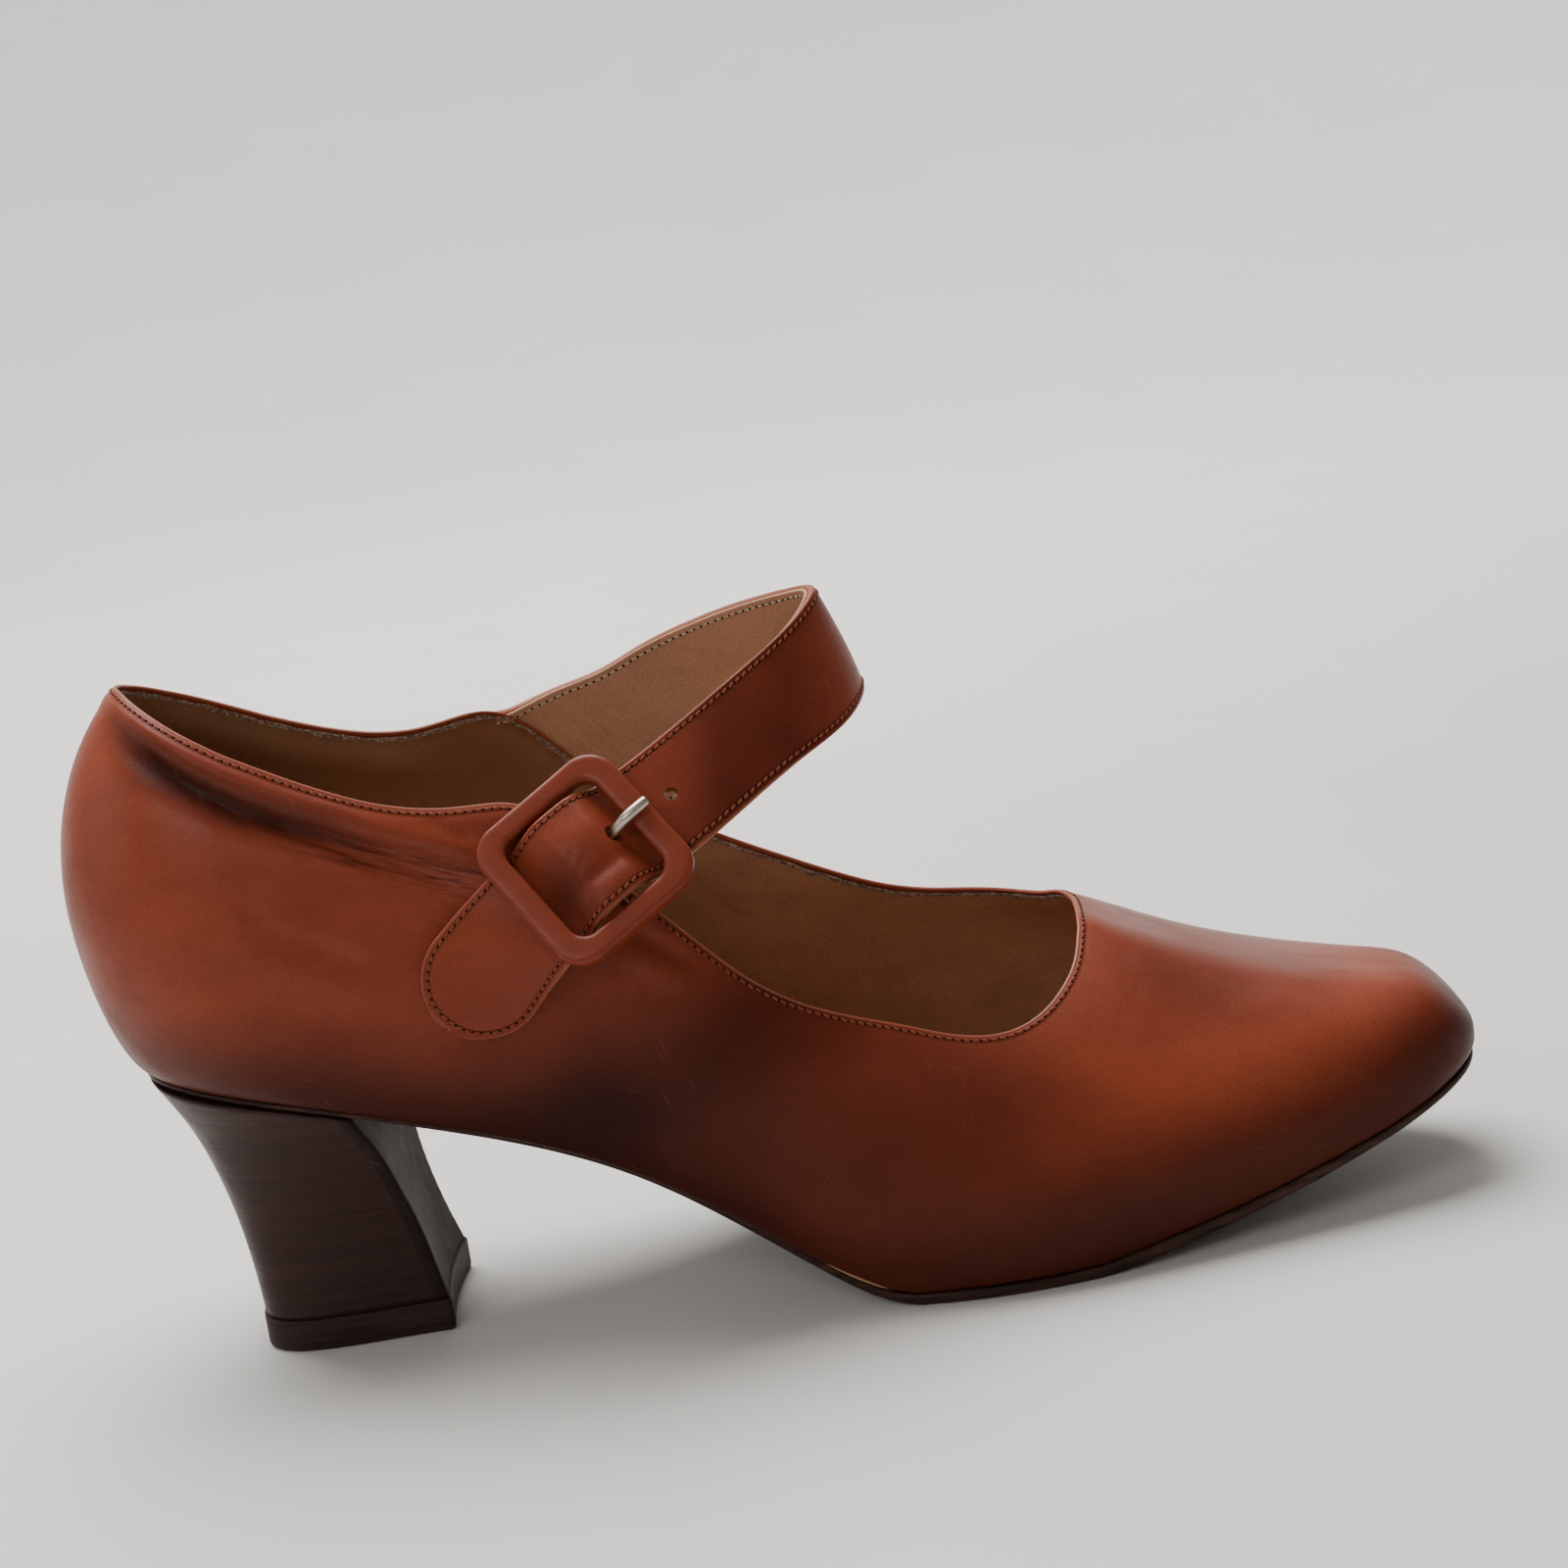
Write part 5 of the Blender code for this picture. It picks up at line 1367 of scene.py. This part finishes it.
def merge_ends(piece):
    """Joins the points that meet at the ends of the outlines."""
    work = bmesh.new()
    work.from_mesh(piece.data)
    bmesh.ops.remove_doubles(work, verts=work.verts, dist=1e-6)
    bmesh.ops.dissolve_degenerate(work, edges=work.edges, dist=1e-7)
    bmesh.ops.recalc_face_normals(work, faces=work.faces)
    work.to_mesh(piece.data)
    work.free()


def punch(pieces, start, end, radius):
    axis = unit(end - start)
    side = unit(np.cross(axis, [0.3, 0.2, 0.9]))
    other = np.cross(axis, side)
    angle = np.linspace(0, 2 * math.pi, PUNCH_SIDES, endpoint=False)[:, None]
    ring = radius * (side * np.cos(angle) + other * np.sin(angle))
    mesh = bpy.data.meshes.new("punch")
    ends = world(np.concatenate([start + ring, end + ring]))
    mesh.from_pydata(ends.tolist(), [], tube_faces(2, PUNCH_SIDES))
    mesh.flip_normals()
    tool = add_object("punch", mesh)
    for piece in pieces:
        merge_ends(piece)
        cut = piece.modifiers.new("hole", "BOOLEAN")
        cut.operation, cut.solver, cut.object = "DIFFERENCE", "EXACT", tool
        view = piece.evaluated_get(bpy.context.evaluated_depsgraph_get())
        whole = bpy.data.meshes.new_from_object(view)
        piece.modifiers.clear()
        piece.data = whole
    bpy.data.objects.remove(tool)


def from_buckle(s, w, n):
    origin, along, up, outward = BUCKLE_FRAME
    s, w, n = (np.asarray(v, float)[..., None] for v in np.broadcast_arrays(s, w, n))
    return origin + s * along + w * up + n * outward


(hole_s, hole_n), (tilt_s, tilt_n) = STRAP_HOLE_PLACE, STRAP_HOLE_TILT
hole_ends = [from_buckle(hole_s + far * tilt_s, 0, hole_n + far * tilt_n) for far in (-HOLE_CUT, HOLE_CUT)]
punch((strap_leather, strap_lining), *hole_ends, STRAP_HOLE_RADIUS * 0.85)
spare = np.array(SPARE_HOLE)
nearest = np.unravel_index(np.argmin(np.linalg.norm(face_grid - spare, axis=2)), face_grid.shape[:2])
through_strap = 4 * strap_out[nearest]
punch((strap_leather, strap_lining), spare + through_strap, spare - through_strap, SPARE_RADIUS)
print("holes punched:", len(strap_leather.data.polygons), "faces left in the strap")

# %% Stitches round the strap
LINING_SEAM_START = 46


def strap_inset_line(inset, start, side, high):
    """A line along one edge of the strap from start, inset from it, on its outer or inner face."""
    width = np.interp(places, ribbon_at, half_width(ribbon))
    ahead = np.clip(STRAP_TIP_RADIUS - places, 0, None) / (STRAP_TIP_RADIUS - inset)
    reach = (width - inset) * np.sqrt(np.clip(1 - ahead**2, 0, 1))
    half = np.maximum(half_width(edge_line), 0.1)
    column = np.clip((side * reach / half + 1) / 2 * ACROSS, 0, ACROSS)
    low = np.floor(column).astype(int).clip(0, ACROSS - 1)
    share = np.where(column >= ACROSS, 1.0, column % 1)[:, None]
    rows = np.arange(len(places))
    line, out = (
        grid[rows, low] * (1 - share) + grid[rows, low + 1] * share for grid in (edge_line, strap_out)
    )
    chosen = (places > start) & (places < STRAP_TOTAL) & (reach > 0.3)
    out = unit(out)
    return line[chosen] + out[chosen] * high, out[chosen]


lower, upper_side = (strap_inset_line(STRAP_INSET, STRAP_INSET, side, outer_high) for side in (-1, 1))
outline, outline_out = (np.concatenate([low[::-1], high]) for low, high in zip(lower, upper_side))
lay_seam("strap", outline, outline_out, STRAP_PITCH, red_thread, -SLANT)
for label, side in (("low", -1), ("high", 1)):
    line, line_out = strap_inset_line(STRAP_INSET, LINING_SEAM_START, side, inner_low)
    lay_seam("inner_" + label, line, -line_out, STRAP_PITCH, cream_thread)

# %% [markdown]
# ## Buckle and prong
# The frame is a square ring with round corners whose section is a soft rectangle, low at the sides so that it
# hugs the foot. A curve with a bevel would keep one section all round, so the ring is lofted from a
# super-ellipse whose width and height change as it goes. The prong hooks round the centre bar and lies on
# the far side.

# %% Buckle frame
FINE_RING, RING_STEPS, SECTION_STEPS, SECTION_POWER = 400, 240, 36, 4.2
COVER = 0.25


def square_ring(half_s, half_w, corner, count):
    """Points round a square with round corners, dense in the corners."""
    per = count // 4
    share = np.linspace(0, 1, per)
    arcs = []
    for quarter, (side_s, side_w) in enumerate(((1, 1), (-1, 1), (-1, -1), (1, -1))):
        angle = math.pi / 2 * (quarter + share)
        centre = np.array([side_s * (half_s - corner), side_w * (half_w - corner)])
        arcs.append(centre + corner * np.stack([np.cos(angle), np.sin(angle)], axis=1))
    return np.concatenate(arcs)


def soft_square(half_s, half_w, corner, count):
    ring = square_ring(half_s, half_w, corner, FINE_RING)
    ring = np.concatenate([ring, ring[:1]])
    return even_steps(ring, count, 6.0)[:-1]


def super_round(angle, power):
    """Across and up, from -1 to 1, of a super-ellipse."""
    across, up = np.cos(angle), np.sin(angle)
    return np.sign(across) * abs(across) ** (2 / power), np.sign(up) * abs(up) ** (2 / power)


half_s, half_w = BUCKLE_ALONG / 2 + COVER, BUCKLE_ACROSS / 2 + COVER
outer_ring = soft_square(half_s, half_w, BUCKLE_CORNER, RING_STEPS)
inner_ring = soft_square(half_s - BAR_ALONG, half_w - BAR_ACROSS, WINDOW_CORNER, RING_STEPS)
around = np.arctan2(outer_ring[:, 1] / BUCKLE_ACROSS, outer_ring[:, 0] / BUCKLE_ALONG)
ring_low = BUCKLE_LOW - BUCKLE_SIDE_DROP * np.sin(around) ** 4
ring_high = BUCKLE_LOW + BUCKLE_THICK
across, up = super_round(np.linspace(0, 2 * math.pi, SECTION_STEPS, endpoint=False), SECTION_POWER)
sections = []
for a, u in zip(across, up):
    plan = outer_ring + (inner_ring - outer_ring) * (0.5 - 0.5 * a)
    sections.append(from_buckle(plan[:, 0], plan[:, 1], ring_low + (ring_high - ring_low) * (0.5 + 0.5 * u)))
ring_faces = grid_faces(SECTION_STEPS, RING_STEPS, wrap_rows=True, wrap_columns=True)
points = np.concatenate(sections)
make_piece("buckle_ring", points, ring_faces, enamel, ("buckle",), sharp=0)
print("buckle ring", len(ring_faces) * 2, "triangles")

# %% Bars that follow a path
def swept(path, radii, sides):
    """A round bar along a path in the buckle's side view, closed at both ends."""
    path = np.asarray(path, float)
    turn = unit(np.gradient(path, axis=0))
    angle = np.linspace(0, 2 * math.pi, sides, endpoint=False)
    rings = []
    for (s, n), (ts, tn), radius in zip(path, turn, radii):
        sideways, outward = radius * np.cos(angle), radius * np.sin(angle)
        rings.append(from_buckle(s - tn * outward, sideways, n + ts * outward))
    return np.concatenate(rings), tube_faces(len(rings), sides)


PRONG_STEPS, PRONG_SIDES = 70, 28
hook = CENTRE_BAR_RADIUS + GAP + PRONG_THIN
prong_rest = BUCKLE_LOW + BUCKLE_THICK + GAP + PRONG_RADIUS
wrap = np.radians(PRONG_WRAP)
prong_rows = [(hook * math.cos(a), CENTRE_BAR_HEIGHT + hook * math.sin(a), PRONG_THIN) for a in wrap]
prong_rows = np.array([*prong_rows, *PRONG_PATH, *((s, prong_rest, radius) for s, radius in PRONG_ON_BAR)])
travelled = distances(prong_rows[:, :2])
prong_curve = curves(("run", "s", "n", "radius"), np.column_stack([travelled, prong_rows]))
run = np.linspace(0, travelled[-1], PRONG_STEPS)
prong_path = np.stack([prong_curve["s"](run), prong_curve["n"](run)], axis=1)
prong_radii = np.clip(prong_curve["radius"](run), 0.3, PRONG_RADIUS)
end_round = np.clip((travelled[-1] - run) / 1.0, 0, 1)
prong_radii = np.minimum(prong_radii, 1.05 * np.sqrt(1 - (1 - end_round) ** 2) + 0.08)
points, faces = swept(prong_path, prong_radii, PRONG_SIDES)
make_piece("prong_bar", points, faces, steel, ("prong",), sharp=60)
print("prong", round(travelled[-1], 1), "mm of wire")

# %% Centre bar
BAR_RINGS, BAR_SIDES = 9, 24
angle = np.linspace(0, 2 * math.pi, BAR_SIDES, endpoint=False)
bar_s, bar_n = CENTRE_BAR_RADIUS * np.cos(angle), CENTRE_BAR_HEIGHT + CENTRE_BAR_RADIUS * np.sin(angle)
reach = BUCKLE_ACROSS / 2 - CENTRE_BAR_INSET
points = np.concatenate([from_buckle(bar_s, w, bar_n) for w in np.linspace(-reach, reach, BAR_RINGS)])
make_piece("buckle_bar", points, tube_faces(BAR_RINGS, BAR_SIDES), enamel)
tab_finishes = nodes["buckle_tab"].data.materials
tab_finishes.clear()
tab_finishes.append(tab_calf)
print("buckle dressed")

# %% [markdown]
# ## Sock, sole and heel
# Under the leather come three plain trades' work: the tan sock that lines the inside, the thin leather sole
# with its dyed and rounded edge, and the heel block with its top lift. The sole and the sock are slabs over
# outlines of the last, so one helper draws a slab through a list of edge steps: how far in, and how high.

# %% Slabs over the last
def slab(kind, start, end, grow, low, high, steps, count, across):
    """Points and faces of a slab: two grids, and bands round its edge through (inset, level) steps."""
    def outline(inset, level):
        edge_grow = (lambda x: grow(x) - inset) if callable(grow) else grow - inset
        own = (start + inset, end - inset, count, edge_grow)
        sides = [half_outline(kind, side, *own) for side in (LATERAL, MEDIAL)]
        return sides, lambda x: low(x) + level * (high(x) - low(x))

    def face(inset, level):
        (lateral, medial), height = outline(inset, level)
        share = (1 - np.cos(np.linspace(0, math.pi, across + 1))) / 2
        plan = lateral[:, None] + (medial - lateral)[:, None] * share[None, :, None]
        return np.concatenate([plan, height(plan[..., :1])], axis=2)

    bottom, top = face(*steps[0]), face(*steps[-1])
    rows, columns = bottom.shape[:2]
    other = rows * columns
    index = border(np.arange(other).reshape(rows, columns)[..., None])[:, 0]
    ring_index = np.concatenate([index[:rows], index[rows + columns - 2 : 2 * rows + columns - 2]])
    points = [bottom.reshape(-1, 3), top.reshape(-1, 3)]
    bands = [ring_index]
    base = 2 * other
    for inset, level in steps[1:-1]:
        (lateral, medial), height = outline(inset, level)
        plan = np.concatenate([lateral, medial[::-1]])
        points.append(at_height(plan, height(plan[:, 0])))
        bands.append(base + np.arange(len(plan)))
        base += len(plan)
    return np.concatenate(points), two_grids(rows, columns) + band_faces([*bands, ring_index + other])


def at_height(plan, z):
    """Plan points lifted to a height, or each to its own."""
    return np.column_stack([plan, np.broadcast_to(z, len(plan))])


print("slabs ready")

# %% Sock
SOCK_STEPS, SOCK_ACROSS = 220, 36
SOCK_START, SOCK_END = SEAT_START + INSOLE_INSET, SEAT_END - INSOLE_INSET
SOCK_EDGE = ((0.3, 0.0), (0.0, 0.15), (0.0, 0.7), (0.15, 0.9), (0.5, 1.0))
# The lining ends here under the worn surface of the upper, and the sock meets it.
LINING_REACH = 2.0


def sock_low(x):
    return sole_top(x) + GAP


def sock_high(x):
    return sock_low(x) + INSOLE_THICK


def fill_sides(points):
    """Move the sock's sides out to the foot of the lining, so that no light comes in beside it."""
    foot = skin[0] - LINING_REACH * skin_normal[0]
    outline = (SOCK_START, SOCK_END, SOCK_STEPS, -INSOLE_INSET)
    cut = {side: half_outline("seat", side, *outline) for side in (LATERAL, MEDIAL)}
    edge = {side: np.interp(points[:, 0], *cut[side].T) for side in cut}
    middle = (edge[LATERAL] + edge[MEDIAL]) / 2
    fade = smooth_step(points[:, 0], SOCK_START + 2, SOCK_START + 14)
    fade = fade * (1 - smooth_step(points[:, 0], SOCK_END - 14, SOCK_END - 2))
    is_lateral = foot[:, 1] < last["ridge_y"](foot[:, 0])
    for side, here in ((LATERAL, is_lateral), (MEDIAL, ~is_lateral)):
        order = foot[here][np.argsort(foot[here][:, 0])]
        wanted = np.interp(points[:, 0], order[:, 0], order[:, 1])
        share = np.clip((points[:, 1] - middle) / (edge[side] - middle + 1e-9), 0, 1)
        points[:, 1] += share * fade * (wanted - edge[side])


outline = ("seat", SOCK_START, SOCK_END, -INSOLE_INSET, sock_low, sock_high)
points, faces = slab(*outline, SOCK_EDGE, SOCK_STEPS, SOCK_ACROSS)
grid_points = (SOCK_STEPS + 1) * (SOCK_ACROSS + 1)
top = slice(grid_points, 2 * grid_points)
points[top, 2] += 0.12 * uneven(points[top], 22, 8) + 0.04 * uneven(points[top], 6, 9) - 0.1
fill_sides(points)
no_edge = {"edge": np.full(len(points), FAR_OFF)}
merge_ends(make_piece("sock", points, faces, sock_tan, ("insole",), no_edge))
print("sock", len(faces) * 2, "triangles")

# %% Sole
SOLE_STEPS, SOLE_ACROSS = 260, 24
SOLE_EDGE = (
    *((1.0, 0.0), (0.45, 0.02), (0.12, 0.14), (0.0, 0.35)),
    *((0.0, 0.62), (0.06, 0.8), (0.3, 0.95), (0.8, 1.0)),
)
outline = ("seat", SEAT_START - 0.3, SEAT_END + 0.5, sole["edge"], sole_bottom, sole_top)
points, faces = slab(*outline, SOLE_EDGE, SOLE_STEPS, SOLE_ACROSS)
merge_ends(make_piece("sole", points, faces, sole_edge, ("outsole",)))
print("sole", len(faces) * 2, "triangles")

# %% Heel block
HEEL_STEPS, HEEL_RINGS, CORNER_SOFTENING = 190, 54, 3
# The ends of the heel and of its lift are filled with ever smaller rings.
FILLING = (0.004, 0.35, 0.7)
HEEL_FILLING = (*FILLING, 0.97)
BREAST_DEPTH = 2.6


def heel_loop(level, grow=0.0):
    """The heel's D-shaped outline at a level, with its two front corners softened."""
    back, breast = heel["back"](level) - grow, heel["breast"](level) + grow
    half, power = heel["half"](level) + grow, heel["square"](level)
    straight = breast - HEEL_STRAIGHT * (breast - back)
    angle = np.linspace(0, math.pi, 600)
    x = straight - (straight - back) * np.abs(np.sin(angle)) ** (2 / power)
    y = -half * np.sign(np.cos(angle)) * np.abs(np.cos(angle)) ** (2 / power)
    y *= 1 + heel["flare"](level) * (straight - x) / (straight - back)
    front_y = np.linspace(half, -half, 200)
    front_x = breast - BREAST_HOLLOW * (1 - (front_y / half) ** 2)
    front_x -= heel["skew"](level) * (1 + front_y / half) / 2
    loop = np.concatenate([np.stack([x, y], axis=1), np.stack([front_x, front_y], axis=1), [[x[0], y[0]]]])
    loop = even_steps(loop, HEEL_STEPS, 0.0)[:-1]
    for _ in range(CORNER_SOFTENING):
        loop = (np.roll(loop, 1, axis=0) + 2 * loop + np.roll(loop, -1, axis=0)) / 4
    return loop + np.array([0, HEEL_MIDDLE])


def heel_height(plan, level):
    low = LIFT_HEIGHT + 0.06
    return low + level * (sole_bottom(plan[:, 0]) - GAP - low)


def stacked(rings):
    """Points and faces of a stack of closed rings."""
    return np.concatenate(rings), grid_faces(len(rings), len(rings[0]), wrap_columns=True)


def heel_ring(level, grow=0.0, share=None):
    """A ring of the heel block, or a smaller one inside it."""
    plan = heel_loop(level, grow)
    if share:
        middle = (plan.max(axis=0) + plan.min(axis=0)) / 2
        plan = middle + (plan - middle) * share
    return at_height(plan, heel_height(plan, level))


heel_rings = [heel_ring(0.0, share=share) for share in HEEL_FILLING]
for level in np.linspace(0, 1, HEEL_RINGS):
    heel_rings.append(heel_ring(level, grow=-0.1 * (level in (0.0, 1.0))))
heel_rings += [heel_ring(1.0, share=share) for share in HEEL_FILLING[::-1]]
points, faces = stacked(heel_rings)
heel_x = points[:, 0].reshape(len(heel_rings), -1)
on_breast = {"breast": (heel_x > heel_x.max(axis=1, keepdims=True) - BREAST_DEPTH) * 1.0}
make_piece("heel_block", points, faces, heel_stack, ("heel",), on_breast, sharp=0)
print("heel", len(faces) * 2, "triangles")

# %% Top lift
# How far in its edge is, and how high.
LIFT_EDGE = (
    *((0.8, 0.0), (0.45, 0.06), (0.15, 0.3), (0.0, 0.7), (0.0, 2.0)),
    *((0.0, 4.0), (0.0, 5.6), (0.05, 5.85), (0.2, LIFT_HEIGHT)),
)
fillings = [heel_ring(0.0, LIFT_PROUD, share)[:, :2] for share in FILLING]
lift_rings = [at_height(plan, 0.0) for plan in fillings]
lift_rings += [at_height(heel_loop(0.0, LIFT_PROUD - inset), z) for inset, z in LIFT_EDGE]
lift_rings += [at_height(plan, LIFT_HEIGHT) for plan in fillings[::-1]]
points, faces = stacked(lift_rings)
make_piece("lift", points, faces, lift_rubber, ("top_lift",), sharp=0)
print("top lift", len(faces) * 2, "triangles")

# %% [markdown]
# ## Camera, light and floor
# The shoe is seen from its lateral side, a little from above, with the camera rolled so that the floor rises
# towards the toe. One broad soft light hangs above the far side, a dimmer one fills the front, a small one
# grazes the counter and a wide one lights the backdrop. The pale floor throws light back up under the shoe.

# %% Camera
AZIMUTH, ELEVATION, ROLL = 1.48, 12.5, -8.41
AIM = Vector((0.0061, 0.003, 0.0884))
DISTANCE, LENS = 0.602, 75.31
a, e, r = (math.radians(v) for v in (AZIMUTH, ELEVATION, ROLL))
backward = Vector((math.sin(a) * math.cos(e), -math.cos(a) * math.cos(e), math.sin(e)))
level_right = Vector((math.cos(a), math.sin(a), 0))
level_up = backward.cross(level_right)
right = math.cos(r) * level_right + math.sin(r) * level_up
upward = math.cos(r) * level_up - math.sin(r) * level_right
camera_data = bpy.data.cameras.new("camera")
camera_data.lens, camera_data.sensor_width = LENS, 36
camera_data.clip_start = 0.02
camera = add_object("camera", camera_data)
place = AIM + backward * DISTANCE
camera.matrix_world = Matrix.Translation(place) @ Matrix((right, upward, backward)).transposed().to_4x4()
bpy.context.scene.camera = camera
print("camera", round(place.length * 1000), "mm from the origin")

# %% Lights and floor
def soft_light(name, place, aim, size, power, colour):
    data = bpy.data.lights.new(name, "AREA")
    data.shape, data.size, data.size_y = "RECTANGLE", *size
    data.energy, data.color = power, colour
    lamp = add_object(name, data)
    lamp.location = place
    lamp.rotation_euler = (Vector(aim) - Vector(place)).to_track_quat("-Z", "Y").to_euler()


soft_light("key", (-0.2, 0.35, 0.95), (0, 0, 0.05), (0.8, 0.8), 22.0, (1.0, 0.98, 0.96))
soft_light("front", (-0.55, -1.0, 0.8), (0, 0, 0.05), (0.7, 0.6), 4.0, (1.0, 0.98, 0.96))
soft_light("rim", (-0.9, -0.1, 0.4), (0, 0, 0.06), (0.5, 0.5), 1.2, (0.97, 0.98, 1.0))
soft_light("backdrop", (0, 0.8, 1.1), (0, 2.6, 0.3), (2.4, 0.6), 45.0, (1.0, 0.99, 0.98))
world_light = bpy.data.worlds.new("studio")
world_light.use_nodes = True
sky = world_light.node_tree.nodes["Background"].inputs
sky["Color"].default_value, sky["Strength"].default_value = (0.9, 0.92, 0.95, 1), 0.16
bpy.context.scene.world = world_light
floor_finish, tree, shader, place = new_material("pale_floor")
cloud = add_node(tree, "TexNoise", Vector=place, Scale=14.0, Detail=4.0)
pale = add_mix(tree, cloud.outputs["Fac"], (0.66, 0.645, 0.62, 1), (0.72, 0.705, 0.68, 1))
set_inputs(tree, shader, Base_Color=pale, Roughness=0.6)
FLAT_REACH, BEND_RADIUS, WALL_HEIGHT, FLOOR_SIDES = 1.2, 1.6, 1.2, 96
profile = [(0.001, 0.0)] + [(FLAT_REACH * share, 0.0) for share in (0.1, 0.25, 0.5, 0.75, 1.0)]
for turn in np.linspace(0, math.pi / 2, 24)[1:]:
    profile.append((FLAT_REACH + BEND_RADIUS * math.sin(turn), BEND_RADIUS * (1 - math.cos(turn))))
profile.append((FLAT_REACH + BEND_RADIUS, BEND_RADIUS + WALL_HEIGHT))
turn = np.linspace(0, 2 * math.pi, FLOOR_SIDES, endpoint=False)
sweep = [np.column_stack([r * np.cos(turn), r * np.sin(turn), np.full(FLOOR_SIDES, z)]) for r, z in profile]
floor_mesh = bpy.data.meshes.new("floor")
points, faces = stacked(sweep)
floor_mesh.from_pydata(points.tolist(), [], faces)
floor_mesh.shade_smooth()
floor_mesh.materials.append(floor_finish)
floor = add_object("floor", floor_mesh)
print("stage set")
